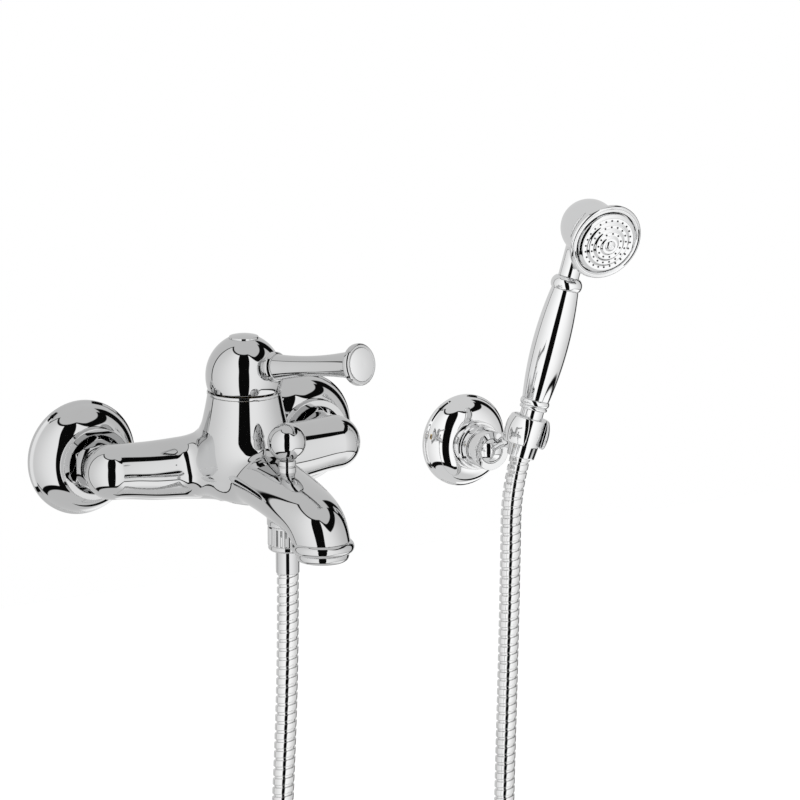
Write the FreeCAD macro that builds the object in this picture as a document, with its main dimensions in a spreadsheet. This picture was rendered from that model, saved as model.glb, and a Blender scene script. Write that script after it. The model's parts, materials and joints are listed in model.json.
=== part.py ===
"""Wall-mounted bath mixer with diverter, metal hose, swivelling wall bracket and hand shower.

Millimetres. The wall is the plane Y = 0, the front of the mixer faces -Y and +Z is up. The origin is
midway between the two supply pipes' axes, in the wall's face.
"""

import FreeCAD
import Part
import Sketcher
import math
import os

from FreeCAD import Placement, Rotation, Vector

os.makedirs("parts", exist_ok=True)
doc = FreeCAD.newDocument("bath_mixer")
sheet = doc.addObject("Spreadsheet::Sheet", "Sizes")

# Driving dimensions, in millimetres, degrees and counts
SIZES = {
    # Wall connection
    "supply_spacing": 150,
    "pipe_thread": 10.48,
    "pipe_thread_length": 20,
    "union_throw": 6,
    "union_hub": 14.5,
    "union_hub_depth": 4,
    "union_thread": 13.22,
    "union_reach": 15.4,
    "union_bore": 6.5,
    "washer_thickness": 2,
    "fit_gap": 0.05,
    "seat_gap": 0.02,
    # Wall flanges of the mixer
    "flange_radius": 35.0,
    "flange_rim": 3,
    "flange_step": 1.6,
    "flange_depth": 23,
    "flange_collar": 22,
    "flange_collar_depth": 4,
    "flange_mouth": 17.9,
    "flange_wall": 1.8,
    "flange_web": 3,
    "flange_web_depth": 4.5,
    # Union nuts
    "nut_flats": 30,
    "nut_start": 10.5,
    "nut_end": 26.4,
    "nut_lip": 5.5,
    "nut_chamfer": 1.3,
    # Body casting
    "body_reach": 44,
    "arm_radius": 16.7,
    "arm_bore": 8.6,
    "arm_bore_start": 13,
    "inlet_neck": 11,
    "inlet_collar": 12.9,
    "inlet_collar_thickness": 2.6,
    "inlet_bore": 7.4,
    "arm_place_1": 71, "arm_level_1": -0.3, "arm_depth_1": 16.4, "arm_height_1": 16.7,
    "arm_place_2": 50, "arm_level_2": -2.3, "arm_depth_2": 16.4, "arm_height_2": 17.7,
    "arm_place_3": 28, "arm_level_3": -3.2, "arm_depth_3": 17.2, "arm_height_3": 18.9,
    "arm_place_4": 0, "arm_level_4": -4.5, "arm_depth_4": 18.5, "arm_height_4": 20.5,
    "neck_reach": 70.5,
    "neck_top": 44.6,
    "neck_top_radius": 22,
    "neck_waist": 26.4,
    "neck_waist_height": 24,
    "neck_foot": 24,
    "neck_foot_height": -4,
    "neck_base": 12,
    "neck_base_height": -19,
    "port_radius": 3.4,
    "port_offset": 7,
    "port_reach": 64,
    "outlet_reach": 81,
    "outlet_radius": 4.2,
    # Spout, section by section from the body to the mouth
    "spout_reach_1": 54, "spout_level_1": 0.2, "spout_turn_1": 0, "spout_width_1": 24, "spout_height_1": 18,
    "spout_reach_2": 91, "spout_level_2": -2.5, "spout_turn_2": 4, "spout_width_2": 21.5, "spout_height_2": 16.4,
    "spout_reach_3": 121, "spout_level_3": -6, "spout_turn_3": 11, "spout_width_3": 20.5, "spout_height_3": 15.4,
    "spout_reach_4": 144, "spout_level_4": -10.5, "spout_turn_4": 30, "spout_width_4": 19.6, "spout_height_4": 15.4,
    "spout_reach_5": 159, "spout_level_5": -17, "spout_turn_5": 60, "spout_width_5": 18, "spout_height_5": 16,
    "mouth_reach": 166, "mouth_level": -23.6, "mouth_width": 17,
    "spout_end_level": -27.5, "spout_end_width": 16.8,
    "mouth_bead": 18.6,
    "mouth_bead_height": 6.8,
    "mouth_bore": 12.4,
    "mouth_bore_depth": 14,
    "spout_bore": 7.2,
    "spout_bore_bend": 146,
    "spout_bore_level": -7,
    # Aerator
    "aerator_bead": 15.6,
    "aerator_bead_height": 4.6,
    "aerator_core": 9.6,
    "aerator_lip": 8.2,
    "aerator_mesh": 3.2,
    # Cartridge
    "cartridge_radius": 17.4,
    "cartridge_floor": 6.6,
    "cartridge_shoulder": 33,
    "cartridge_wall": 1.4,
    "cartridge_tower": 14.2,
    "cartridge_tower_top": 42,
    "cartridge_mouth": 12.15,
    "seal_thickness": 2,
    "disc_thickness": 3.8,
    "disc_radius": 10.4,
    "disc_hole": 2.6,
    "slider_height": 7.5,
    "post_radius": 4.6,
    "post_top": 43.6,
    "rotor_radius": 12,
    "rotor_flange": 15.8,
    "rotor_flange_thickness": 4,
    "rotor_bore": 10.3,
    "rotor_top": 61,
    "rotor_slot_floor": 46,
    "lift_pivot": 54.8,
    "spindle_arm": 14.8,
    "spindle_ball": 3,
    "spindle_neck": 2,
    "spindle_width": 7.8,
    "spindle_depth": 9,
    "spindle_foot": 48.5,
    "spindle_top": 72,
    "pin_radius": 2,
    "pin_length": 21,
    "ring_nut_height": 4,
    "ring_nut_bore": 14.6,
    # Lever head
    "dome_radius": 23,
    "dome_rim": 47.4,
    "dome_wall": 2.4,
    "dome_shoulder": 17.2,
    "dome_shoulder_height": 71.9,
    "dome_top_radius": 9.4,
    "dome_top": 78.3,
    "dome_gap": 0.25,
    "trim_ring_radius": 22.3,
    "trim_ring_top": 46.4,
    "hub_radius": 8,
    "hub_foot": 67,
    "plug_radius": 8.75,
    "plug_edge": 2.4,
    "plug_crown": 1.3,
    "plug_seat": 77,
    "head_screw_radius": 2.5,
    "head_screw_head": 4.4,
    "head_screw_head_height": 3,
    "head_screw_length": 12,
    # Lever
    "lever_turn": 17,
    "lever_rise": 10,
    "lever_height": 59.8,
    "lever_boss": 6.4,
    "lever_boss_start": 15,
    "lever_stud": 3.5,
    "lever_collar": 9.2,
    "lever_collar_start": 24.6,
    "lever_collar_end": 29.4,
    "lever_root": 7.6,
    "lever_waist": 6,
    "lever_waist_at": 58,
    "lever_flare": 8.2,
    "lever_flare_at": 91,
    "lever_disc": 12.3,
    "lever_disc_edge": 3.4,
    "lever_cap": 9.8,
    "lever_end": 98,
    "lever_cap_crown": 1.4,
    # Diverter
    "diverter_reach": 123.5,
    "knob_radius": 11.3,
    "knob_height": 26,
    "gland_radius": 5.4,
    "gland_seat": 8,
    "gland_top": 15,
    "gland_thread": 4.9,
    "gland_foot": 3.2,
    "stem_radius": 2.5,
    "chamber_radius": 8,
    "chamber_floor": -14,
    "plunger_radius": 7.3,
    "plunger_height": 3,
    "plunger_seal_height": 1.4,
    "spring_outer": 4.9,
    "spring_inner": 3,
    # Shower outlet and lower end of the hose
    "outlet_thread": 10.48,
    "outlet_thread_top": -17.5,
    "outlet_thread_end": -34,
    "outlet_bore": 5.4,
    "hose_nut_radius": 11.7,
    "hose_nut_top": -24.6,
    "hose_nut_bottom": -39,
    "hose_nut_lip": 1.5,
    "hose_nut_flutes": 24,
    "hose_nut_flute": 0.7,
    "ferrule_radius": 7,
    "ferrule_flange": 9.8,
    "ferrule_flange_thickness": 1.5,
    "ferrule_end": -53,
    "ferrule_bore": 4.2,
    # Hose
    "hose_radius": 6.5,
    "hose_groove": 5.7,
    "hose_bore": 4.2,
    "hose_ribs": 194,
    # Wall bracket
    "bracket_offset": 193.5,
    "bracket_level": -22,
    "bracket_radius": 29.6,
    "bracket_rim": 2.6,
    "bracket_wall": 1.6,
    "bracket_dome": 15.5,
    "bracket_collar": 16,
    "bracket_hole": 9,
    "plate_radius": 24,
    "plate_thickness": 3,
    "plate_boss": 6,
    "plate_boss_end": 19,
    "screw_spacing": 34,
    "screw_radius": 2.1,
    "screw_head": 4,
    "screw_head_height": 2.4,
    "screw_length": 30,
    "socket_radius": 15.5,
    "socket_step": 20.5,
    "socket_front": 27,
    "socket_front_radius": 13.6,
    "ball_reach": 32,
    "ball_radius": 9,
    "ball_gap": 0.12,
    "ball_seat": 1.4,
    "ball_seat_angle": 55,
    "ring_radius": 12.4,
    "ring_face": 36.5,
    "ring_lip": 33.5,
    # Arm and holder
    "arm_pan": 16.44,
    "arm_lift": 28.6,
    "arm_length": 37.4,
    "arm_neck": 3,
    "arm_neck_at": 12,
    "arm_end": 5.4,
    "arm_end_at": 19.5,
    "arm_pin": 2,
    "arm_pin_length": 3,
    "holder_boss": 6.4,
    "holder_radius": 14.2,
    "holder_top": 11.9,
    "holder_foot": 12.9,
    "holder_half": 9,
    "holder_slot": 14,
    "cone_gap": 0.3,
    # Hand shower, along its axis from the middle of the holder
    "shower_lean": 15.8,
    "shower_pan": 8.35,
    "shower_facing": 1.5,
    "cone_top": 10.2,
    "cone_foot": 9.5,
    "cone_end": 8.7,
    "cone_top_at": 8.2,
    "cone_end_at": -17,
    "cone_thread": 8.9,
    "cone_thread_foot": -7,
    "upper_flange": 8.6,
    "tail_thread_foot": -3,
    "tail_radius": 7.3,
    "tail_bore": 4.5,
    "collar_start": 13.8,
    "collar_radius": 9.1,
    "grip_start": 20.3,
    "grip_foot": 8.6,
    "grip_belly": 11.3,
    "grip_belly_at": 62,
    "grip_head": 8.6,
    "grip_end": 91.5,
    "grip_wall": 2.2,
    "bead_radius": 9.9,
    "bead_end": 99.5,
    "neck_radius": 6.6,
    "head_at": 134.8,
    "head_tilt": 13.6,
    "bulb_radius": 17.8,
    "bulb_centre": 7.9,
    "bulb_front": 16.5,
    "bulb_wall": 1.8,
    "flare_radius": 22.4,
    "flare_front": 26.5,
    "face_radius": 24.4,
    "face_front": 30.5,
    "face_lip": 20.1,
    "plate_rim": 19.8,
    "plate_back": 25.5,
    "plate_step_1": 17.8, "plate_rise_1": 32.1, "spray_ring_1": 15.7, "spray_count_1": 24,
    "plate_step_2": 13.9, "plate_rise_2": 33.2, "spray_ring_2": 11.95, "spray_count_2": 17,
    "plate_step_3": 9.8, "plate_rise_3": 34.2, "spray_ring_3": 7.9, "spray_count_3": 11,
    "plate_boss_radius": 5.5, "plate_boss_rise": 35.1,
    "spray_hole": 0.45,
    "face_screw": 3.6,
    "face_screw_crown": 1.2,
    "face_screw_shank": 2,
    "face_seal": 1.6,
}


class Size:
    """A length that knows its present value and the expression that gives it."""

    def __init__(self, value, text):
        self.value = value
        self.text = text

    def _joined(self, other, sign, value):
        return Size(value, f"({self.text} {sign} {size(other).text})")

    def __add__(self, other):
        return self._joined(other, "+", self.value + size(other).value)

    def __sub__(self, other):
        return self._joined(other, "-", self.value - size(other).value)

    def __mul__(self, other):
        return self._joined(other, "*", self.value * size(other).value)

    def __truediv__(self, other):
        return self._joined(other, "/", self.value / size(other).value)

    def __radd__(self, other):
        return size(other) + self

    def __rsub__(self, other):
        return size(other) - self

    def __rmul__(self, other):
        return size(other) * self

    def __neg__(self):
        return size(0) - self


def size(x):
    """A number or a Size, as a Size."""
    return x if isinstance(x, Size) else Size(float(x), f"{float(x):.6g}")


def root(x):
    return Size(math.sqrt(x.value), f"sqrt({x.text})")


def sine(x):
    return Size(math.sin(math.radians(x.value)), f"sin({x.text})")


def cosine(x):
    return Size(math.cos(math.radians(x.value)), f"cos({x.text})")


def chord(radius, height):
    """How wide a circle of this radius is, from its axis, at a height from its centre."""
    return root(radius * radius - height * height)


class Sheet:
    """The spreadsheet's cells by their aliases."""

    def __init__(self, sizes):
        for row, (alias, value) in enumerate(sizes.items(), start=1):
            sheet.set(f"A{row}", alias)
            sheet.set(f"B{row}", str(value))
            sheet.setAlias(f"B{row}", alias)
        self.sizes = sizes

    def __getattr__(self, alias):
        return Size(float(self.sizes[alias]), f"Sizes.{alias}")

    def numbered(self, name, number):
        return getattr(self, f"{name}_{number}")


S = Sheet(SIZES)
doc.recompute()
nodes = {}

UPRIGHT = Placement(Vector(0, 0, 0), Rotation(Vector(1, 0, 0), 90))
FRONT = Vector(0, -1, 0)
UP = Vector(0, 0, 1)
RIGHT = Vector(1, 0, 0)


def vector(x, y, z):
    return Vector(size(x).value, size(y).value, size(z).value)


def turned_to(base, along, across=RIGHT):
    """A placement at base whose Z axis points along, and whose X axis is as near to across as it can be."""
    return Placement(base, Rotation(across, Vector(0, 0, 0), along, "ZXY"))


def beside(placement, x=0, y=0, z=0):
    """The placement moved in its own axes."""
    return placement * Placement(vector(x, y, z), Rotation())


def keep(node, thing):
    """Names a finished piece, which is exported under that name."""
    thing.Label = node
    nodes[node] = thing
    return thing


def new_body(name, placement):
    body = doc.addObject("PartDesign::Body", name)
    body.Placement = placement
    return body


def plane_of(body, role):
    return next(f for f in body.Origin.OriginFeatures if f.Role == role)


def new_sketch(body, name, role, offset=Placement()):
    sketch = body.newObject("Sketcher::SketchObject", name)
    sketch.AttachmentSupport = [(plane_of(body, role), "")]
    sketch.MapMode = "FlatFace"
    sketch.AttachmentOffset = offset
    return sketch


def pinned(sketch, item, end, x, y):
    """Holds a sketched point at a place that follows the spreadsheet."""
    for kind, value, axis in (("DistanceX", x, -2), ("DistanceY", y, -1)):
        if value.text in ("0", "-0"):
            sketch.addConstraint(Sketcher.Constraint("PointOnObject", item, end, axis))
            continue
        number = sketch.addConstraint(Sketcher.Constraint(kind, -1, 1, item, end, value.value))
        sketch.setExpression(f"Constraints[{number}]", value.text)


class Via(tuple):
    """A point that an arc of the outline passes through, between its two ends."""


class Ball(tuple):
    """A point near an arc whose centre lies on the turning axis, between the arc's two ends."""


def ball_arc(first, near, last):
    """The point of a ball's arc, centred on the axis, in the direction of a point near it."""
    middle = (last.Length ** 2 - first.Length ** 2) / (2 * (last.y - first.y))
    centre = Vector(0, middle, 0)
    return centre + (near - centre).normalize() * first.distanceToPoint(centre)


def outline(sketch, profile):
    """Draws a closed outline of lines, and of arcs where a Via stands between two corners."""
    corners = [tuple(size(v) for v in p) for p in profile]
    kinds = [isinstance(p, (Via, Ball)) for p in profile]
    places = [Vector(r.value, z.value, 0) for r, z in corners]
    ends = [k for k, via in enumerate(kinds) if not via]
    edges = []
    for number, k in enumerate(ends):
        following = ends[(number + 1) % len(ends)]
        bow = (k + 1) % len(kinds)
        if kinds[bow]:
            first, last = places[k], places[following]
            on_axis = isinstance(profile[bow], Ball)
            middle = ball_arc(first, places[bow], last) if on_axis else places[bow]
            forward = (middle - first).cross(last - first).z > 0
            arc = Part.Arc(first, middle, last) if forward else Part.Arc(last, middle, first)
            item = sketch.addGeometry(arc, False)
            if on_axis:
                sketch.addConstraint(Sketcher.Constraint("PointOnObject", item, 3, -2))
            else:
                through = sketch.addGeometry(Part.Point(places[bow]), True)
                sketch.addConstraint(Sketcher.Constraint("PointOnObject", through, 1, item))
                pinned(sketch, through, 1, *corners[bow])
        else:
            item = sketch.addGeometry(Part.LineSegment(places[k], places[following]), False)
            forward = True
        edges.append((item, 1 if forward else 2, 2 if forward else 1))
    for number, k in enumerate(ends):
        item, first, last = edges[number]
        after, after_first, _ = edges[(number + 1) % len(edges)]
        sketch.addConstraint(Sketcher.Constraint("Coincident", item, last, after, after_first))
        pinned(sketch, item, first, *corners[k])


def turn(body, profile, cut=False, local=Placement()):
    """Revolves an outline of (radius, height) corners about the body's Z axis, or a local one."""
    kind = "Groove" if cut else "Revolution"
    sketch = new_sketch(body, f"{kind}Outline", "XZ_Plane", UPRIGHT.inverse() * local * UPRIGHT)
    outline(sketch, profile)
    feature = body.newObject(f"PartDesign::{kind}", kind)
    feature.Profile = sketch
    feature.ReferenceAxis = (sketch, ["V_Axis"])
    feature.Angle = 360
    return feature


def turned(node, placement, profile, *cuts, final=True):
    """A piece turned on one axis, with its grooves."""
    body = new_body(node, placement)
    turn(body, profile)
    for groove in cuts:
        doc.recompute()
        turn(body, groove, cut=True)
    doc.recompute()
    return keep(node, body) if final else body


def ring(inner, outer, low, high):
    """The outline of a tube's wall, or of a solid rod where inner is 0."""
    return [(inner, low), (outer, low), (outer, high), (inner, high)]


def polygon(sketch, sides, radius, turn_by=0):
    """A regular polygon whose corners lie on a circle about the sketch's middle."""
    corner = [
        Vector(radius.value * math.cos(math.radians(turn_by + 360 * k / sides)),
               radius.value * math.sin(math.radians(turn_by + 360 * k / sides)), 0)
        for k in range(sides)
    ]
    items = [
        sketch.addGeometry(Part.LineSegment(corner[k], corner[(k + 1) % sides]), False)
        for k in range(sides)
    ]
    for k, item in enumerate(items):
        angle = size(turn_by + 360 * k / sides)
        sketch.addConstraint(Sketcher.Constraint("Coincident", item, 2, items[(k + 1) % sides], 1))
        pinned(sketch, item, 1, radius * cosine(angle), radius * sine(angle))


def rectangle(sketch, half_x, half_y, middle_x=0, middle_y=0):
    signs = ((-1, -1), (1, -1), (1, 1), (-1, 1))
    middle = (size(middle_x), size(middle_y))
    corners = [(middle[0] + half_x * a, middle[1] + half_y * b) for a, b in signs]
    outline(sketch, corners)


def circle(sketch, x, y, radius):
    item = sketch.addGeometry(Part.Circle(vector(x, y, 0), Vector(0, 0, 1), radius.value), False)
    number = sketch.addConstraint(Sketcher.Constraint("Radius", item, radius.value))
    sketch.setExpression(f"Constraints[{number}]", radius.text)
    pinned(sketch, item, 3, size(x), size(y))


def pad(body, draw, low, high, cut=False, role="XY_Plane", local=Placement()):
    """Raises, or cuts away, a sketched shape between two heights along the sketch's normal."""
    kind = "Pocket" if cut else "Pad"
    sketch = new_sketch(body, f"{kind}Outline", role, local * Placement(vector(0, 0, low), Rotation()))
    if local.isIdentity():
        sketch.setExpression(".AttachmentOffset.Base.z", low.text)
    draw(sketch)
    feature = body.newObject(f"PartDesign::{kind}", kind)
    feature.Profile = sketch
    feature.Length = (high - low).value
    feature.setExpression("Length", (high - low).text)
    if cut:
        feature.Reversed = True
    return feature


def joined(name, pieces):
    whole = doc.addObject("Part::MultiFuse", name)
    whole.Shapes = pieces
    return whole


def cut_from(name, base, tool):
    rest = doc.addObject("Part::Cut", name)
    rest.Base = base
    rest.Tool = tool
    return rest


def rod(name, start, end, radius):
    """A plain cylinder between two points, as a tool."""
    piece = doc.addObject("Part::Cylinder", name)
    piece.Radius = radius.value
    piece.setExpression("Radius", radius.text)
    piece.Height = start.distanceToPoint(end)
    along = end.sub(start)
    across = RIGHT if abs(along.normalize().x) < 0.9 else UP
    piece.Placement = turned_to(start, end.sub(start), across)
    return piece


# Places that several pieces share
RISE = S.union_throw
half_spacing = S.supply_spacing / 2
SIDES = {"left": -1, "right": 1}


def mixer_place(x, y, z, along=UP, across=RIGHT):
    """A placement in the mixer's own heights, which count from the axis of its arms."""
    return turned_to(vector(x, y, size(z) + RISE), along, across)


head_axis = mixer_place(0, -S.neck_reach, 0)
diverter_axis = mixer_place(0, -S.diverter_reach, 0)
mouth_axis = mixer_place(0, -S.mouth_reach, 0)


# Wall connection: eccentric unions, gaskets, check valves, nuts and flanges
def wall_connection(side, sign):
    pipe = turned_to(vector(half_spacing * sign, 0, 0), FRONT)
    inlet = mixer_place(half_spacing * sign, 0, 0, FRONT)

    shank = new_body(f"shank_{side}", pipe)
    turn(shank, ring(0, S.pipe_thread, -S.pipe_thread_length, S.fit_gap))
    hub = new_body(f"hub_{side}", inlet)
    hub_profile = [
        (0, 0),
        (S.union_hub, 0),
        (S.union_hub, S.union_hub_depth),
        (S.union_thread, S.union_hub_depth),
        (S.union_thread, S.union_reach),
        (0, S.union_reach),
    ]
    turn(hub, hub_profile)
    solid = joined(f"union_blank_{side}", [shank, hub])
    way = joined(f"union_way_{side}", [
        rod(f"way_back_{side}", vector(half_spacing * sign, S.pipe_thread_length + 1, 0),
            vector(half_spacing * sign, -4, 0), S.union_bore),
        rod(f"way_front_{side}", vector(half_spacing * sign, -2, RISE),
            vector(half_spacing * sign, -S.union_reach - 1, RISE), S.union_bore),
    ])
    keep(f"eccentric_union_{side}", cut_from(f"eccentric_union_{side}", solid, way))

    face = S.union_reach + S.seat_gap
    turned(f"inlet_gasket_{side}", inlet,
           ring(S.inlet_bore, S.inlet_collar - 0.4, face, face + S.washer_thickness))

    rim = S.flange_radius
    thread = S.union_thread + S.fit_gap
    web = S.flange_web_depth
    turned(f"wall_flange_{side}", inlet, [
        (rim - S.flange_wall, 0),
        (rim, 0),
        (rim, S.flange_rim),
        (rim - S.flange_step, S.flange_rim + S.flange_step),
        Via((rim * 0.86, S.flange_depth * 0.52)),
        (S.flange_collar, S.flange_depth - S.flange_collar_depth),
        (S.flange_collar, S.flange_depth),
        (S.flange_mouth, S.flange_depth),
        (S.flange_mouth, web + S.flange_web),
        (thread, web + S.flange_web),
        (thread, web),
        (rim * 0.78, web),
        (rim - S.flange_wall, S.flange_rim),
    ])

    nut = new_body(f"union_nut_{side}", inlet)
    corner = S.nut_flats / math.sqrt(3)
    pad(nut, lambda sketch: polygon(sketch, 6, corner, 30), S.nut_start, S.nut_end)
    doc.recompute()
    cut = S.nut_chamfer
    for edge, slope in ((S.nut_start, 1), (S.nut_end, -1)):
        turn(nut, [
            (corner - cut, edge),
            (corner + 1, edge),
            (corner + 1, edge + (cut + 1) * slope * 0.6),
        ], cut=True)
        doc.recompute()
    turn(nut, ring(0, thread, S.nut_start - 1, S.nut_end - S.nut_lip), cut=True)
    doc.recompute()
    turn(nut, ring(0, S.inlet_neck + S.fit_gap * 4, S.nut_end - S.nut_lip - 1, S.nut_end + 1), cut=True)
    keep(f"union_nut_{side}", nut)

    valve = S.inlet_bore - S.fit_gap
    start = face + S.washer_thickness + 1.5
    turned(f"check_valve_{side}", inlet, [
        (0, start + 5),
        (2.2, start + 5),
        (valve - 1.4, start + 1),
        (valve - 1.4, start),
        (valve, start),
        (valve, start + 12),
        (0, start + 12),
    ])


for side, sign in SIDES.items():
    wall_connection(side, sign)


# Body casting: arms, neck and spout as one piece of brass, with its waterways
collar_face = S.union_reach + S.seat_gap + S.washer_thickness + S.seat_gap
cup_radius = S.dome_radius + S.dome_gap
cup_drop = S.lift_pivot - S.neck_top


def arm_section(number, sign):
    place, level, depth, height = (
        S.numbered(f"arm_{word}", number) for word in ("place", "level", "depth", "height")
    )
    tall = height.value > depth.value
    section = doc.addObject("Part::Ellipse", f"arm_section_{number}")
    section.MajorRadius = max(depth.value, height.value)
    section.MinorRadius = min(depth.value, height.value)
    section.setExpression("MajorRadius", (height if tall else depth).text)
    section.setExpression("MinorRadius", (depth if tall else height).text)
    section.Placement = mixer_place(place * sign, -S.body_reach, level, RIGHT, UP if tall else FRONT)
    return section


def arms():
    """Both arms: one loft that is lowest and widest in the middle, and a ball on each end."""
    order = [(k, -1) for k in (1, 2, 3)] + [(4, 1)] + [(k, 1) for k in (3, 2, 1)]
    loft = doc.addObject("Part::Loft", "arm_loft")
    loft.Sections = [arm_section(k, sign) for k, sign in order]
    loft.Solid = True
    loft.Ruled = False
    pieces = [loft]
    for side, sign in SIDES.items():
        ball = doc.addObject("Part::Sphere", f"arm_ball_{side}")
        ball.Radius = S.arm_radius.value
        ball.setExpression("Radius", S.arm_radius.text)
        ball.Placement = mixer_place(half_spacing * sign, -S.body_reach, 0, RIGHT, UP)
        pieces.append(ball)
    return pieces


def inlet_stub(side, sign):
    body = new_body(f"inlet_{side}", mixer_place(half_spacing * sign, 0, 0, FRONT))
    turn(body, [
        (0, collar_face),
        (S.inlet_collar, collar_face),
        (S.inlet_collar, collar_face + S.inlet_collar_thickness),
        (S.inlet_neck, collar_face + S.inlet_collar_thickness),
        (S.inlet_neck, S.body_reach),
        (0, S.body_reach),
    ])
    return body


def neck():
    body = new_body("neck", head_axis)
    top = S.neck_top
    turn(body, [
        (0, S.neck_base_height),
        (S.neck_base, S.neck_base_height),
        Via((S.neck_foot * 0.9, S.neck_base_height + 4.5)),
        (S.neck_foot, S.neck_foot_height),
        Via((S.neck_waist * 1.012, S.neck_waist_height * 0.5)),
        (S.neck_waist, S.neck_waist_height),
        Via((S.neck_top_radius + 1.5, S.neck_waist_height * 0.4 + top * 0.6)),
        (S.neck_top_radius, top),
        (0, top),
    ])
    return body


def spout_section(number, reach, level, tilt, width, height):
    section = doc.addObject("Part::Ellipse", f"spout_section_{number}")
    section.MajorRadius = max(width.value, height.value)
    section.MinorRadius = height.value
    section.setExpression("MajorRadius", width.text)
    section.setExpression("MinorRadius", height.text)
    lean = math.radians(tilt.value)
    section.Placement = mixer_place(0, -reach, level, Vector(0, -math.cos(lean), -math.sin(lean)))
    return section


def spout():
    sections = [
        spout_section(k, *(S.numbered(f"spout_{word}", k) for word in ("reach", "level", "turn", "width", "height")))
        for k in range(1, 6)
    ]
    end = S.spout_end_width
    sections.append(spout_section(6, S.mouth_reach, S.spout_end_level, size(90), end, end))
    loft = doc.addObject("Part::Loft", "spout")
    loft.Sections = sections
    loft.Solid = True
    loft.Ruled = False
    return loft


def mouth():
    body = new_body("mouth", mouth_axis)
    low = S.mouth_level - S.mouth_bead_height
    turn(body, [
        (0, S.mouth_level),
        (S.mouth_width, S.mouth_level),
        Via((S.mouth_bead, S.mouth_level - S.mouth_bead_height * 0.46)),
        (S.mouth_width - 0.6, low),
        (0, low),
    ])
    return body


def outlet_seat():
    body = new_body("outlet_seat", diverter_axis)
    turn(body, ring(0, S.outlet_thread + 1.6, S.hose_nut_top + 0.8, -8))
    return body


def waterways():
    ways = []
    for side, sign in SIDES.items():
        ways.append(rod(f"inlet_way_{side}", vector(half_spacing * sign, -S.union_reach, RISE),
                        vector(half_spacing * sign, -S.body_reach, RISE), S.inlet_bore))
        ways.append(rod(f"arm_way_{side}", vector(S.arm_bore_start * sign, -S.body_reach, RISE),
                        vector((half_spacing + 3) * sign, -S.body_reach, RISE), S.arm_bore))
        ways.append(rod(f"port_{side}", vector((S.arm_bore_start + 4) * sign, -S.body_reach - 3, RISE),
                        vector(S.port_offset * sign, -S.port_reach, RISE + S.cartridge_floor + 1), S.port_radius))
    bend = vector(0, -S.spout_bore_bend, RISE + S.spout_bore_level)
    ways.append(rod("outlet_port", vector(0, -S.outlet_reach, RISE - 3),
                    vector(0, -S.outlet_reach, RISE + S.cartridge_floor + 1), S.outlet_radius))
    ways.append(rod("spout_way", vector(0, -S.outlet_reach + 4, RISE - 3), bend, S.spout_bore))
    ways.append(rod("spout_bend", bend, vector(0, -S.mouth_reach + 2, RISE + S.mouth_level + 4), S.spout_bore))
    cavity = new_body("cartridge_cavity", head_axis)
    bore = S.cartridge_radius + S.fit_gap
    cup_foot = S.lift_pivot - chord(cup_radius, bore)
    turn(cavity, [
        (0, S.cartridge_floor),
        (bore, S.cartridge_floor),
        (bore, cup_foot),
        Ball((cup_radius, (cup_foot + S.neck_top) / 2)),
        (chord(cup_radius, cup_drop), S.neck_top),
        (chord(cup_radius, cup_drop), S.neck_top + 2),
        (0, S.neck_top + 2),
    ])
    chamber = new_body("diverter_chamber", diverter_axis)
    turn(chamber, [
        (0, S.outlet_thread_end),
        (S.outlet_thread + S.fit_gap, S.outlet_thread_end),
        (S.outlet_thread + S.fit_gap, S.outlet_thread_top),
        (S.outlet_bore, S.outlet_thread_top),
        (S.outlet_bore, S.chamber_floor),
        (S.chamber_radius, S.chamber_floor),
        (S.chamber_radius, S.gland_foot),
        (S.gland_thread + S.fit_gap, S.gland_foot),
        (S.gland_thread + S.fit_gap, S.gland_seat),
        (S.gland_radius + 0.3, S.gland_seat),
        (S.gland_radius + 0.3, S.gland_seat + 6),
        (0, S.gland_seat + 6),
    ])
    outlet = new_body("mouth_bore", mouth_axis)
    low = S.mouth_level - S.mouth_bead_height
    turn(outlet, ring(0, S.mouth_bore, low - 1, low + S.mouth_bore_depth))
    return ways + [cavity, chamber, outlet]


stubs = [inlet_stub(side, sign) for side, sign in SIDES.items()]
doc.recompute()
blank = joined("body_blank", arms() + [neck()] + stubs + [spout(), mouth(), outlet_seat()])
doc.recompute()
keep("mixer_body", cut_from("mixer_body", blank, joined("body_ways", waterways())))
doc.recompute()
mixer_volume = nodes["mixer_body"].Shape.Volume
print("mixer body volume", round(mixer_volume), "blank", round(blank.Shape.Volume))


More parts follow.
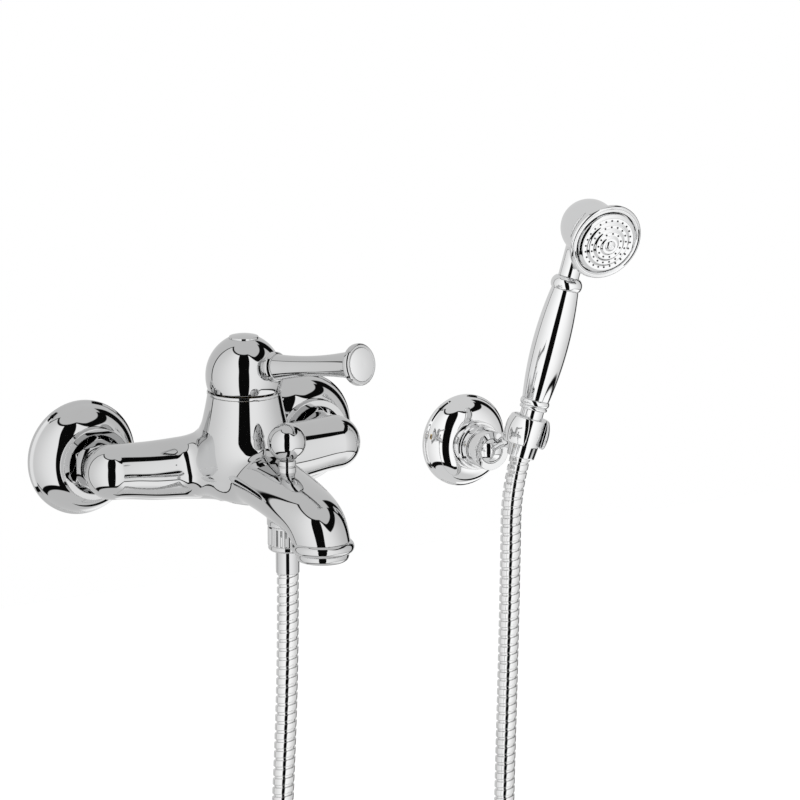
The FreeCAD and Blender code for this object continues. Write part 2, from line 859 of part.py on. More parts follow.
# Cartridge, from its seal up to the nut that holds it
def cartridge():
    floor = S.cartridge_floor + S.seat_gap
    fixed = floor + S.seal_thickness + S.seat_gap
    moving = fixed + S.disc_thickness + S.seat_gap
    slider = moving + S.disc_thickness + S.seat_gap
    rotor = slider + S.slider_height + 0.1
    inner = S.cartridge_radius - S.cartridge_wall
    wide = inner - S.fit_gap

    def port_holes(body, low, high):
        def draw(sketch):
            for x in (-S.port_offset, S.port_offset):
                circle(sketch, x, S.neck_reach - S.port_reach, S.disc_hole)
            circle(sketch, 0, S.neck_reach - S.outlet_reach, S.disc_hole)
        pad(body, draw, low, high, cut=True)

    seal = new_body("cartridge_seal", head_axis)
    turn(seal, ring(0, wide, floor, floor + S.seal_thickness))
    doc.recompute()
    port_holes(seal, floor, floor + S.seal_thickness)
    keep("cartridge_seal", seal)

    disc = new_body("fixed_ceramic_disc", head_axis)
    turn(disc, ring(0, wide, fixed, fixed + S.disc_thickness))
    doc.recompute()
    port_holes(disc, fixed, fixed + S.disc_thickness)
    keep("fixed_ceramic_disc", disc)

    lever_facing = turned_to(head_axis.Base, UP, lever_side())
    turned("moving_ceramic_disc", lever_facing,
           ring(0, S.disc_radius, moving, moving + S.disc_thickness),
           ring(0, S.disc_radius * 0.55, moving, moving + S.disc_thickness * 0.5))

    hole = S.spindle_ball + 0.3
    turned("disc_slider", lever_facing, [
        (0, slider),
        (S.disc_radius, slider),
        (S.disc_radius, slider + S.slider_height),
        (S.post_radius, slider + S.slider_height),
        (S.post_radius, S.post_top),
        (hole, S.post_top),
        (hole, S.lift_pivot - S.spindle_arm - S.spindle_ball - 1.5),
        (0, S.lift_pivot - S.spindle_arm - S.spindle_ball - 1.5),
    ])

    turned("cartridge_housing", head_axis, [
        (inner, floor + 0.5),
        (S.cartridge_radius, floor + 0.5),
        (S.cartridge_radius, S.cartridge_shoulder),
        (S.cartridge_tower, S.cartridge_shoulder),
        (S.cartridge_tower, S.cartridge_tower_top),
        (S.cartridge_mouth, S.cartridge_tower_top),
        (S.cartridge_mouth, rotor + S.rotor_flange_thickness + 0.1),
        (inner, rotor + S.rotor_flange_thickness + 0.1),
    ])

    turret = new_body("lever_turret", lever_facing)
    turn(turret, [
        (S.rotor_bore, rotor),
        (S.rotor_flange, rotor),
        (S.rotor_flange, rotor + S.rotor_flange_thickness),
        (S.rotor_radius, rotor + S.rotor_flange_thickness),
        (S.rotor_radius, S.rotor_top),
        (S.spindle_neck + 2, S.rotor_top),
        (S.spindle_neck + 2, S.rotor_slot_floor),
        (S.rotor_bore, S.rotor_slot_floor),
    ])
    doc.recompute()
    slot = S.spindle_width / 2 + 0.2
    pad(turret, lambda sketch: rectangle(sketch, slot, S.rotor_radius + 1),
        S.rotor_slot_floor - 1, S.rotor_top + 1, cut=True)
    doc.recompute()
    pad(turret, lambda sketch: circle(sketch, 0, S.lift_pivot, S.pin_radius + S.fit_gap * 0.4),
        -S.rotor_radius - 1, S.rotor_radius + 1, cut=True, role="YZ_Plane")
    keep("lever_turret", turret)

    pin_axis = turned_to(head_axis.Base + Vector(0, 0, S.lift_pivot.value), lever_side())
    turned("spindle_pin", pin_axis, ring(0, S.pin_radius, -S.pin_length / 2, S.pin_length / 2))

    spindle = new_body("spindle", lever_facing)
    turn(spindle, [
        (0, S.lift_pivot - S.spindle_arm - S.spindle_ball),
        Ball((S.spindle_ball, S.lift_pivot - S.spindle_arm)),
        (S.spindle_neck, S.lift_pivot - S.spindle_arm + chord(S.spindle_ball, S.spindle_neck)),
        (S.spindle_neck, S.spindle_foot + 1),
        (0, S.spindle_foot + 1),
    ])
    doc.recompute()
    pad(spindle, lambda sketch: rectangle(sketch, S.spindle_width / 2, S.spindle_depth / 2),
        S.spindle_foot, S.spindle_top)
    doc.recompute()
    pad(spindle, lambda sketch: circle(sketch, 0, S.lift_pivot, S.pin_radius + S.fit_gap * 0.4),
        -S.spindle_width, S.spindle_width, cut=True, role="YZ_Plane")
    doc.recompute()
    screw_foot = S.plug_seat - 0.4 - S.head_screw_head_height - S.head_screw_length
    turn(spindle, ring(0, S.head_screw_radius + S.fit_gap * 0.4, screw_foot - 1, S.spindle_top + 1), cut=True)
    keep("spindle", spindle)

    low = S.cartridge_shoulder + S.seat_gap
    ring_nut = new_body("cartridge_nut", head_axis)
    turn(ring_nut, ring(S.ring_nut_bore, S.cartridge_radius, low, low + S.ring_nut_height))
    doc.recompute()
    notch = pad(ring_nut, lambda sketch: rectangle(sketch, size(1.6), size(2), 0, S.cartridge_radius),
                low + S.ring_nut_height * 0.5, low + S.ring_nut_height + 1, cut=True)
    repeat(ring_nut, notch, 6)
    keep("cartridge_nut", ring_nut)


def lever_side():
    """The level direction across the lever, which is the lift hinge's axis."""
    bearing = math.radians(S.lever_turn.value)
    return Vector(math.cos(bearing), math.sin(bearing), 0)


def repeat(body, feature, count, spread=360):
    """A polar pattern of a feature about the body's Z axis."""
    doc.recompute()
    pattern = body.newObject("PartDesign::PolarPattern", "Repeat")
    pattern.Originals = [feature]
    pattern.Axis = (plane_of(body, "Z_Axis"), [""])
    pattern.Angle = spread
    pattern.Occurrences = int(round(size(count).value))
    if isinstance(count, Size):
        pattern.setExpression("Occurrences", count.text)
    body.Tip = pattern
    doc.recompute()
    return pattern


cartridge()


# Lever head and lever
def lever_head():
    cup = cup_radius
    ring_top = S.trim_ring_top
    turned("trim_ring", head_axis, [
        (chord(cup, cup_drop), S.neck_top + S.seat_gap),
        (S.trim_ring_radius, S.neck_top + S.seat_gap),
        (S.trim_ring_radius, ring_top - 0.3),
        (S.trim_ring_radius - 0.3, ring_top),
        (chord(cup, S.lift_pivot - ring_top), ring_top),
        Ball((cup, (ring_top + S.neck_top) / 2)),
    ])

    dome = new_body("lever_dome", turned_to(head_axis.Base, UP, lever_side()))
    drop = S.lift_pivot - S.dome_rim
    inner = S.dome_radius - S.dome_wall
    turn(dome, [
        (chord(inner, drop), S.dome_rim),
        (chord(S.dome_radius, drop), S.dome_rim),
        Ball((S.dome_radius, S.lift_pivot - drop / 2)),
        (S.dome_radius, S.lift_pivot),
        Via((S.dome_shoulder, S.dome_shoulder_height)),
        (S.dome_top_radius, S.dome_top),
        (S.plug_radius + S.fit_gap, S.dome_top),
        (S.plug_radius + S.fit_gap, S.plug_seat),
        (0, S.plug_seat),
        (0, S.hub_foot),
        (S.hub_radius, S.hub_foot),
        (S.hub_radius, S.dome_top - S.dome_wall * 1.9),
        Via((S.dome_shoulder - S.dome_wall * 0.62, S.dome_shoulder_height - S.dome_wall * 0.85)),
        (inner, S.lift_pivot),
        Ball((inner, S.lift_pivot - drop / 2)),
    ])
    doc.recompute()
    turn(dome, ring(0, S.head_screw_head + 0.2, S.plug_seat - 0.4 - S.head_screw_head_height, S.plug_seat + 1),
         cut=True)
    doc.recompute()
    turn(dome, ring(0, S.head_screw_radius + 0.2, S.spindle_top - 1, S.plug_seat), cut=True)
    doc.recompute()
    clear = S.fit_gap * 0.4
    pad(dome, lambda sketch: rectangle(sketch, S.spindle_width / 2 + clear, S.spindle_depth / 2 + clear),
        S.hub_foot - 1, S.spindle_top + clear, cut=True)
    doc.recompute()
    along = lever_local()
    start = S.lever_boss_start
    turn(dome, ring(0, S.lever_boss, start, S.dome_radius - 1), local=along)
    doc.recompute()
    turn(dome, ring(0, S.lever_stud + S.fit_gap, start + 1, S.dome_radius + 4), cut=True, local=along)
    keep("lever_dome", dome)

    screw_seat = S.plug_seat - 0.4 - S.head_screw_head_height + S.seat_gap
    head = S.head_screw_head
    screw = new_body("head_screw", turned_to(head_axis.Base, UP, lever_side()))
    turn(screw, [
        (0, screw_seat - S.head_screw_length),
        (S.head_screw_radius, screw_seat - S.head_screw_length),
        (S.head_screw_radius, screw_seat),
        (head, screw_seat),
        (head, screw_seat + S.head_screw_head_height),
        (0, screw_seat + S.head_screw_head_height),
    ])
    doc.recompute()
    pad(screw, lambda sketch: polygon(sketch, 6, head * 0.52),
        screw_seat + 1, screw_seat + S.head_screw_head_height + 1, cut=True)
    keep("head_screw", screw)

    seat = S.plug_seat + S.seat_gap
    turned("dome_plug", head_axis, [
        (0, seat),
        (S.plug_radius, seat),
        (S.plug_radius, seat + S.plug_edge),
        (S.plug_radius - 0.5, seat + S.plug_edge + 0.4),
        Ball((S.plug_radius * 0.5, seat + S.plug_edge + S.plug_crown)),
        (0, seat + S.plug_edge + S.plug_crown),
    ])


def lever_local():
    """The lever's axis seen from the dome, whose Y axis points away from the lever."""
    rise = math.radians(S.lever_rise.value)
    out = Vector(0, -math.cos(rise), math.sin(rise))
    return turned_to(vector(0, 0, S.lever_height), out)


def lever():
    axis = turned_to(head_axis.Base, UP, lever_side()) * lever_local()
    start = S.lever_collar_start
    end = S.lever_collar_end
    collar = S.lever_collar
    turned("lever_collar", axis, [
        (S.lever_stud + S.fit_gap, start - 1.6),
        (S.lever_root * 0.8, start - 1.6),
        (S.lever_root * 0.8, start),
        (collar - 0.9, start),
        (collar, start + 0.9),
        (collar, end - 1.6),
        (S.lever_root + 0.2, end),
        (S.lever_stud + S.fit_gap, end),
    ])
    root_at = end + S.seat_gap
    disc_at = S.lever_end - S.lever_disc_edge
    turned("lever_handle", axis, [
        (0, S.lever_boss_start + 1.2),
        (S.lever_stud, S.lever_boss_start + 1.2),
        (S.lever_stud, root_at),
        (S.lever_root, root_at),
        Via((S.lever_waist, S.lever_waist_at)),
        (S.lever_flare, S.lever_flare_at),
        (S.lever_disc - 1, disc_at - 1.2),
        (S.lever_disc, disc_at),
        (S.lever_disc, S.lever_end - 1),
        (S.lever_disc - 1, S.lever_end),
        (S.lever_cap + S.fit_gap, S.lever_end),
        (S.lever_cap + S.fit_gap, S.lever_end - 1.6),
        (3 + S.fit_gap, S.lever_end - 1.6),
        (3 + S.fit_gap, S.lever_end - 7),
        (0, S.lever_end - 7),
    ])
    base = S.lever_end - 1.6 + S.seat_gap
    turned("lever_end_cap", axis, [
        (0, S.lever_end - 6.5),
        (3, S.lever_end - 6.5),
        (3, base),
        (S.lever_cap, base),
        (S.lever_cap, S.lever_end + 0.2),
        Ball((S.lever_cap * 0.6, S.lever_end + S.lever_cap_crown)),
        (0, S.lever_end + S.lever_cap_crown),
    ])


lever_head()
lever()


# Aerator
def aerator():
    low = S.mouth_level - S.mouth_bead_height - S.seat_gap
    bottom = low - S.aerator_bead_height
    turned("aerator_housing", mouth_axis, [
        (S.aerator_lip, bottom),
        (S.aerator_bead - 1.2, bottom),
        Via((S.aerator_bead, low - S.aerator_bead_height * 0.5)),
        (S.aerator_bead - 0.4, low),
        (S.mouth_bore - S.fit_gap, low),
        (S.mouth_bore - S.fit_gap, low + 8),
        (S.aerator_core, low + 8),
        (S.aerator_core, bottom + 1.6),
        (S.aerator_lip, bottom + 1.6),
    ])
    seat = bottom + 1.6 + S.seat_gap
    core = S.aerator_core - S.fit_gap
    insert = new_body("aerator_insert", mouth_axis)
    turn(insert, ring(0, core, seat, seat + 8))
    doc.recompute()
    pitch = S.aerator_mesh
    hole = pad(insert, lambda sketch: circle(sketch, pitch, 0, pitch * 0.3), seat, seat + 8, cut=True)
    repeat(insert, hole, 6)
    outer = pad(insert, lambda sketch: circle(sketch, pitch * 2, 0, pitch * 0.3), seat, seat + 8, cut=True)
    repeat(insert, outer, 12)
    keep("aerator_insert", insert)
    top = low + 8 + S.seat_gap
    turned("aerator_washer", mouth_axis,
           ring(S.aerator_core - 1.4, S.mouth_bore - 0.3, top, top + 2))


aerator()


# Diverter
def diverter():
    stem = S.stem_radius
    foot = S.chamber_floor + S.plunger_seal_height + S.seat_gap
    knob = S.knob_height
    neck_at = knob - chord(S.knob_radius, S.gland_radius - 1)
    turned("diverter_knob", diverter_axis, [
        (0, foot + S.plunger_height + S.seat_gap),
        (stem, foot + S.plunger_height + S.seat_gap),
        (stem, S.gland_top + 0.3),
        (S.gland_radius - 1, S.gland_top + 0.3),
        (S.gland_radius - 1, neck_at),
        Ball((S.knob_radius, knob)),
        (0, knob + S.knob_radius),
    ])
    seat = S.gland_seat + S.seat_gap
    thread = S.gland_thread
    turned("diverter_gland", diverter_axis, [
        (stem + S.fit_gap, S.gland_foot),
        (thread, S.gland_foot),
        (thread, seat),
        (S.gland_radius, seat),
        (S.gland_radius, S.gland_top - 0.4),
        (S.gland_radius - 0.4, S.gland_top),
        (stem + S.fit_gap, S.gland_top),
    ])
    turned("diverter_plunger", diverter_axis, [
        (0, foot),
        (S.plunger_radius, foot),
        (S.plunger_radius, foot + S.plunger_height),
        (0, foot + S.plunger_height),
    ])
    turned("diverter_seal", diverter_axis,
           ring(0, S.plunger_radius, S.chamber_floor + S.seat_gap, foot - S.seat_gap))
    turned("diverter_spring", diverter_axis,
           ring(S.spring_inner, S.spring_outer, foot + S.plunger_height + 0.1, S.gland_foot - 0.1))


diverter()


# Shower outlet and the hose's lower end
def shower_outlet():
    thread = S.outlet_thread
    end = S.outlet_thread_end
    turned("outlet_nipple", diverter_axis, ring(S.outlet_bore, thread, end, S.outlet_thread_top - S.seat_gap))
    washer_top = end - S.seat_gap
    washer_low = washer_top - S.washer_thickness
    turned("hose_washer", diverter_axis, ring(S.outlet_bore, thread - 0.3, washer_low, washer_top))
    flange = washer_low - S.seat_gap
    rest = flange - S.ferrule_flange_thickness
    bore = S.ferrule_bore
    turned("lower_ferrule", diverter_axis, [
        (bore, S.ferrule_end),
        (S.ferrule_radius - 0.5, S.ferrule_end),
        (S.ferrule_radius, S.ferrule_end + 0.5),
        (S.ferrule_radius, rest),
        (S.ferrule_flange, rest),
        (S.ferrule_flange, flange),
        (bore, flange),
    ])
    nut = new_body("hose_nut", diverter_axis)
    low = S.hose_nut_bottom
    turn(nut, [
        (S.ferrule_radius + 0.15, low),
        (S.hose_nut_radius - 1, low),
        (S.hose_nut_radius, low + 1),
        (S.hose_nut_radius, S.hose_nut_top - 0.6),
        (S.hose_nut_radius - 0.6, S.hose_nut_top),
        (thread + S.fit_gap, S.hose_nut_top),
        (thread + S.fit_gap, rest - S.seat_gap),
        (S.ferrule_radius + 0.15, rest - S.seat_gap),
    ])
    doc.recompute()
    flute = pad(nut, lambda sketch: circle(sketch, S.hose_nut_radius + 0.25, 0, S.hose_nut_flute),
                low + 4, S.hose_nut_top + 1, cut=True)
    repeat(nut, flute, S.hose_nut_flutes)
    keep("hose_nut", nut)


shower_outlet()


# Wall bracket
def bracket():
    wall = mixer_place(S.bracket_offset, 0, S.bracket_level, FRONT)
    rim = S.bracket_radius
    dome = S.bracket_dome
    skin = S.bracket_wall
    turned("bracket_flange", wall, [
        (rim - skin, 0),
        (rim, 0),
        (rim, S.bracket_rim),
        (rim - 1.4, S.bracket_rim + 1.2),
        Via((rim * 0.84, dome * 0.66)),
        (S.bracket_collar, dome),
        (S.bracket_hole, dome),
        (S.bracket_hole, dome - skin),
        (S.bracket_collar, dome - skin),
        Via((rim * 0.84 - skin, dome * 0.66 - skin * 0.6)),
        (rim - skin - 1, S.bracket_rim),
    ])

    plate = new_body("bracket_plate", wall)
    turn(plate, [
        (0, 0),
        (S.plate_radius, 0),
        (S.plate_radius, S.plate_thickness),
        (S.plate_boss, S.plate_thickness),
        (S.plate_boss, S.plate_boss_end),
        (0, S.plate_boss_end),
    ])
    doc.recompute()

    def screw_holes(sketch):
        for x in (-S.screw_spacing / 2, S.screw_spacing / 2):
            circle(sketch, x, 0, S.screw_radius + 0.2)

    pad(plate, screw_holes, -S.plate_thickness, S.plate_thickness + 1, cut=True)
    keep("bracket_plate", plate)

    head = S.plate_thickness + S.seat_gap
    screws = []
    for k, sign in enumerate((-1, 1), start=1):
        place = beside(wall, S.screw_spacing / 2 * sign)
        screws.append(turned(f"bracket_screw_{k}", place, [
            (0, head - S.screw_length),
            (S.screw_radius * 0.4, head - S.screw_length),
            (S.screw_radius, head - S.screw_length + 4),
            (S.screw_radius, 0),
            (S.screw_radius + 0.1, 0),
            (S.screw_radius + 0.1, head),
            (S.screw_head, head),
            (S.screw_head, head + S.screw_head_height * 0.5),
            (S.screw_head * 0.6, head + S.screw_head_height),
            (0, head + S.screw_head_height),
        ], final=False))
    group = doc.addObject("Part::Compound", "bracket_screws")
    group.Links = screws
    keep("bracket_screws", group)

    ball = S.ball_reach
    cavity = S.ball_radius + S.ball_gap + S.ball_seat + S.ball_gap
    front = S.socket_front
    low = dome + S.seat_gap
    turned("socket_base", wall, [
        (S.plate_boss + S.fit_gap, low),
        (S.socket_radius, low),
        (S.socket_radius, S.socket_step - 0.8),
        (S.socket_radius - 0.8, S.socket_step),
        (S.socket_front_radius, S.socket_step),
        (S.socket_front_radius, front),
        (chord(cavity, ball - front), front),
        Ball((cavity, (front + ball - cavity) / 2)),
        (0, ball - cavity),
        (0, S.plate_boss_end + S.fit_gap),
        (S.plate_boss + S.fit_gap, S.plate_boss_end + S.fit_gap),
    ])
    face = front + S.seat_gap
    lip = S.ring_lip
    held = S.ball_radius + S.ball_gap
    turned("socket_ring", wall, [
        (chord(cavity, ball - face), face),
        (S.ring_radius, face),
        (S.ring_radius, S.ring_face - 1),
        (S.ring_radius - 1, S.ring_face),
        (chord(held, S.ring_face - ball), S.ring_face),
        Ball((held, (S.ring_face + lip) / 2)),
        (chord(held, lip - ball), lip),
        (cavity, lip),
        (cavity, ball),
        Ball((cavity, (ball + face) / 2)),
    ])
    angle = S.ball_seat_angle
    inside = S.ball_radius + S.ball_gap
    outside = inside + S.ball_seat
    turned("ball_seat", wall, [
        (0, ball - outside),
        Ball((outside * sine(angle / 2), ball - outside * cosine(angle / 2))),
        (outside * sine(angle), ball - outside * cosine(angle)),
        (inside * sine(angle), ball - inside * cosine(angle)),
        Ball((inside * sine(angle / 2), ball - inside * cosine(angle / 2))),
        (0, ball - inside),
    ])
    return beside(wall, z=ball).Base


ball_centre = bracket()
pan = math.radians(S.arm_pan.value)
lift = math.radians(S.arm_lift.value)
arm_direction = Vector(math.sin(pan) * math.cos(lift), -math.cos(pan) * math.cos(lift), math.sin(lift))
holder_centre = ball_centre + arm_direction * S.arm_length.value
lean = math.radians(S.shower_lean.value)
bearing = math.radians(S.shower_pan.value)
shower_direction = Vector(math.sin(lean) * math.cos(bearing), -math.sin(lean) * math.sin(bearing), math.cos(lean))
facing = math.radians(S.shower_facing.value)
shower_across = shower_direction.cross(Vector(math.sin(facing), -math.cos(facing), 0))
shower_axis = turned_to(holder_centre, shower_direction, shower_across)
arm_axis = turned_to(ball_centre, arm_direction)
print("holder centre", holder_centre, "shower direction", shower_direction)


# Arm and holder
def arm():
    turned("bracket_arm", arm_axis, [
        (0, -S.ball_radius),
        Ball((S.ball_radius, 0)),
        (S.arm_neck, chord(S.ball_radius, S.arm_neck)),
        (S.arm_neck, S.arm_neck_at - 2),
        (S.arm_end, S.arm_end_at),
        (S.arm_pin, S.arm_end_at),
        (S.arm_pin, S.arm_end_at + S.arm_pin_length),
        (0, S.arm_end_at + S.arm_pin_length),
    ])


def cone_radius(at, gap=0):
    """The hose cone's radius at a height in the holder, with a clearance."""
    slope = (S.cone_top - S.cone_foot) / (S.holder_half * 2)
    return S.cone_foot + slope * (at + S.holder_half) + gap


def holder():
    half = S.holder_half
    barrel = new_body("holder_barrel", shower_axis)
    turn(barrel, [
        (0, -half),
        (S.holder_foot, -half),
        Via((S.holder_radius, -S.holder_half * 0.1)),
        (S.holder_top, half),
        (0, half),
    ])
    boss = new_body("holder_boss", arm_axis)
    turn(boss, ring(0, S.holder_boss, S.arm_end_at + S.seat_gap, S.arm_length - 4))
    cone = new_body("holder_cone", shower_axis)
    turn(cone, [
        (0, S.cone_end_at),
        (cone_radius(-half, S.cone_gap), S.cone_end_at),
        (cone_radius(-half, S.cone_gap), -half),
        (cone_radius(half, S.cone_gap), half),
        (cone_radius(half, S.cone_gap), half + 1),
        (0, half + 1),
    ])
    slot = new_body("holder_slot", shower_axis)
    depth = S.holder_radius + 2
    pad(slot, lambda sketch: rectangle(sketch, S.holder_slot / 2, depth / 2, 0, -depth / 2),
        -half - 1, half + 1)
    pin_hole = new_body("holder_pin_hole", arm_axis)
    turn(pin_hole, ring(0, S.arm_pin + S.fit_gap, S.arm_end_at - 1,
                        S.arm_end_at + S.arm_pin_length + S.fit_gap))
    doc.recompute()
    solid = joined("holder_blank", [barrel, boss])
    tools = joined("holder_tools", [cone, slot, pin_hole])
    keep("shower_holder", cut_from("shower_holder", solid, tools))


arm()
holder()


# Hose cone and the hose's upper end
def hose_cone():
    half = S.holder_half
    thread = S.cone_thread + S.fit_gap
    foot = S.cone_thread_foot
    neck_bore = S.ferrule_radius * 0.92 + 0.15
    turned("hose_cone", shower_axis, [
        (neck_bore, S.cone_end_at),
        (S.cone_end, S.cone_end_at),
        (cone_radius(-half), -half),
        (cone_radius(S.cone_top_at - 0.6), S.cone_top_at - 0.6),
        (cone_radius(S.cone_top_at) - 0.6, S.cone_top_at),
        (thread, S.cone_top_at),
        (thread, foot),
        (neck_bore, foot),
    ])
    low = foot + S.seat_gap
    flange = low + S.ferrule_flange_thickness
    sleeve = S.ferrule_radius * 0.92
    turned("upper_ferrule", shower_axis, [
        (S.ferrule_bore, S.cone_end_at + 0.2),
        (sleeve, S.cone_end_at + 0.2),
        (sleeve, low),
        (S.upper_flange, low),
        (S.upper_flange, flange),
        (S.ferrule_bore, flange),
    ])
    washer = flange + S.seat_gap
    turned("shower_washer", shower_axis,
           ring(S.tail_bore, S.cone_thread - 0.3, washer, S.tail_thread_foot - S.seat_gap))


hose_cone()


# Hand shower
head_lean = math.radians(S.head_tilt.value)
spray_direction = Vector(0, -math.cos(head_lean), -math.sin(head_lean))
head_local = turned_to(vector(0, 0, S.head_at), spray_direction)
head_place = shower_axis * head_local


def hand_shower():
    tail = S.tail_radius
    bore = S.tail_bore
    turned("shower_tail", shower_axis, [
        (bore, S.tail_thread_foot),
        (S.cone_thread, S.tail_thread_foot),
        (S.cone_thread, S.cone_top_at - 0.4),
        (tail, S.cone_top_at - 0.4),
        (tail, S.grip_start + 12),
        (bore, S.grip_start + 12),
    ])
    start = S.collar_start
    end = S.grip_start - S.seat_gap
    turned("tail_collar", shower_axis, [
        (tail + S.fit_gap, start),
        (S.collar_radius - 0.9, start),
        (S.collar_radius - 0.3, start + 1.6),
        (S.collar_radius - 0.9, start + 2.2),
        Via((S.collar_radius + 0.2, start + 4.2)),
        (S.grip_foot, end),
        (tail + S.fit_gap, end),
    ])
    grip_end = S.grip_end
    inner = S.grip_foot - S.grip_wall
    turned("shower_grip", shower_axis, [
        (tail + S.fit_gap, S.grip_start),
        (S.grip_foot, S.grip_start),
        Via((S.grip_belly, S.grip_belly_at)),
        (S.grip_head, grip_end),
        (inner - 1, grip_end),
        (inner - 1, grip_end - 8),
        (inner + 1.6, grip_end - 14),
        (inner + 1.6, S.grip_start + 16),
        (tail + S.fit_gap, S.grip_start + 13),
    ])
    low = grip_end + S.seat_gap
    high = S.bead_end
    turned("grip_ring", shower_axis, [
        (inner - 1, low),
        (S.grip_head + 0.4, low),
        Via((S.bead_radius, (low + high) / 2)),
        (S.neck_radius + 0.8, high),
        (inner - 1, high),
    ])

    shell = new_body("shower_head", head_place)
    centre = S.bulb_centre
    bulb = S.bulb_radius
    turn(shell, [
        (0, centre - bulb),
        Ball((bulb, centre - bulb)),
        (bulb, centre),
        (bulb, S.bulb_front),
        Via((bulb + 1.4, S.flare_front - 3)),
        (S.flare_radius, S.flare_front),
        (0, S.flare_front),
    ])
    doc.recompute()
    neck_base = head_local.inverse() * Placement(vector(0, 0, S.bead_end + S.seat_gap), Rotation())
    neck_length = S.head_at - S.bead_end
    turn(shell, ring(0, S.neck_radius, 0, neck_length), local=neck_base)
    doc.recompute()
    hollow = bulb - S.bulb_wall
    turn(shell, [
        (0, centre - hollow),
        Ball((hollow, centre - hollow)),
        (hollow, centre),
        (hollow, S.plate_back - 3),
        (S.flare_radius - 1.2, S.plate_back),
        (S.flare_radius - 1.2, S.flare_front + 1),
        (0, S.flare_front + 1),
    ], cut=True)
    doc.recompute()
    turn(shell, ring(0, bore, -1, neck_length - 4), cut=True, local=neck_base)
    keep("shower_head", shell)

    rim = S.face_radius
    back = S.flare_front + S.seat_gap
    turned("face_ring", head_place, [
        (S.face_lip, back),
        (S.flare_radius, back),
        (rim, back + 1.2),
        Via((rim + 0.2, (back + S.face_front) / 2 + 0.4)),
        (rim - 1.6, S.face_front),
        (S.face_lip + 0.8, S.face_front - 0.6),
        (S.face_lip, S.face_front - 2),
    ])

    plate = new_body("spray_plate", head_place)
    step = [S.numbered("plate_step", k) for k in (1, 2, 3)]
    rise = [S.numbered("plate_rise", k) for k in (1, 2, 3)]
    floor = S.plate_back + S.face_seal
    turn(plate, [
        (0, floor),
        (S.plate_rim, floor),
        (S.plate_rim, rise[0] - 1),
        (step[0], rise[0]),
        (step[1] + 0.4, rise[0] + 0.2),
        (step[1], rise[1]),
        (step[2] + 0.4, rise[1] + 0.2),
        (step[2], rise[2]),
        (S.plate_boss_radius + 0.4, rise[2] + 0.2),
        (S.plate_boss_radius, S.plate_boss_rise),
        (0, S.plate_boss_rise),
    ])
    doc.recompute()
    for k in (1, 2, 3):
        radius = S.numbered("spray_ring", k)
        hole = pad(plate, lambda sketch, r=radius: circle(sketch, r, 0, S.spray_hole),
                   floor - 1, S.plate_boss_rise, cut=True)
        repeat(plate, hole, S.numbered("spray_count", k))
    turn(plate, ring(0, S.face_screw_shank + S.fit_gap, floor - 1, S.plate_boss_rise + 1), cut=True)
    keep("spray_plate", plate)

    seat = S.plate_boss_rise + S.seat_gap
    turned("spray_plate_screw", head_place, [
        (0, floor - 4),
        (S.face_screw_shank, floor - 4),
        (S.face_screw_shank, seat),
        (S.face_screw, seat),
        Ball((S.face_screw * 0.7, seat + S.face_screw_crown)),
        (0, seat + S.face_screw_crown),
    ])
    turned("spray_plate_seal", head_place,
           ring(S.face_lip - 2.6, S.plate_rim, S.plate_back + S.seat_gap, floor - S.seat_gap))


hand_shower()


# Hose: a route of straight runs joined by tangent arcs, in the frame of the whole part
hose_start = mixer_place(0, -S.diverter_reach, S.ferrule_end).Base
hose_end = beside(shower_axis, z=S.cone_end_at).Base
hose_route = [
    hose_start,
    hose_start - UP * 36,
    Vector(-2.2, -124.2, -140),
    Vector(-6.8, -126, -206),
    Vector(-11, -127, -290),
    Vector(-11.8, -127.5, -385),
    Vector(-4, -125.5, -475),
    Vector(20, -118, -524),
    Vector(62, -105, -549),
    Vector(110, -90, -551.5),
    Vector(152, -76, -535),
    Vector(180, -66, -495),
    Vector(188.6, -60.5, -420),
    Vector(189.6, -58, -330),
    Vector(190.5, -58.5, -240),
    Vector(191.8, -60, -152),
    Vector(192.2, -61.6, -76),
    hose_end - shower_direction * 22,
    hose_end,
]
ARC_SHARE = 0.45


def arcs_and_runs(points):
    """The edges of a route: each corner becomes an arc as large as its two runs allow."""
    edges, radii = [], []
    start = points[0]
    for before, corner, after in zip(points, points[1:], points[2:]):
        way_in = (corner - before).normalize()
        way_out = (after - corner).normalize()
        shorter = min(corner.distanceToPoint(before), corner.distanceToPoint(after))
        turn_angle = way_in.getAngle(way_out)
        radius = ARC_SHARE * shorter / math.tan(turn_angle / 2)
        first = corner - way_in * (ARC_SHARE * shorter)
        last = corner + way_out * (ARC_SHARE * shorter)
        inward = (way_out - way_in).normalize()
        middle = corner + inward * (radius / math.cos(turn_angle / 2) - radius)
        edges.append(Part.LineSegment(start, first).toShape())
        edges.append(Part.Arc(first, middle, last).toShape())
        radii.append(radius)
        start = last
    edges.append(Part.LineSegment(start, points[-1]).toShape())
    return edges, radii


class Route:
    """A wire that gives its place and direction at a distance from its start."""

    def __init__(self, points):
        self.edges, self.radii = arcs_and_runs(points)
        self.wire = Part.Wire(self.edges)
        self.length = self.wire.Length
        self.steady = (points[-1] - points[0]).cross(UP).normalize()

    def at(self, distance):
        left = distance
        for edge in self.edges:
            if left <= edge.Length or edge is self.edges[-1]:
                parameter = edge.getParameterByLength(min(max(left, 0), edge.Length))
                return edge.valueAt(parameter), edge.tangentAt(parameter)
            left -= edge.Length

    def ring(self, distance, radius):
        """A circle about the route, its own X axis as near to the steady direction as it can be."""
        place, along = self.at(distance)
        edge = Part.Circle(Vector(0, 0, 0), Vector(0, 0, 1), radius).toShape()
        edge.Placement = turned_to(place, along, self.steady)
        return Part.Wire([edge])


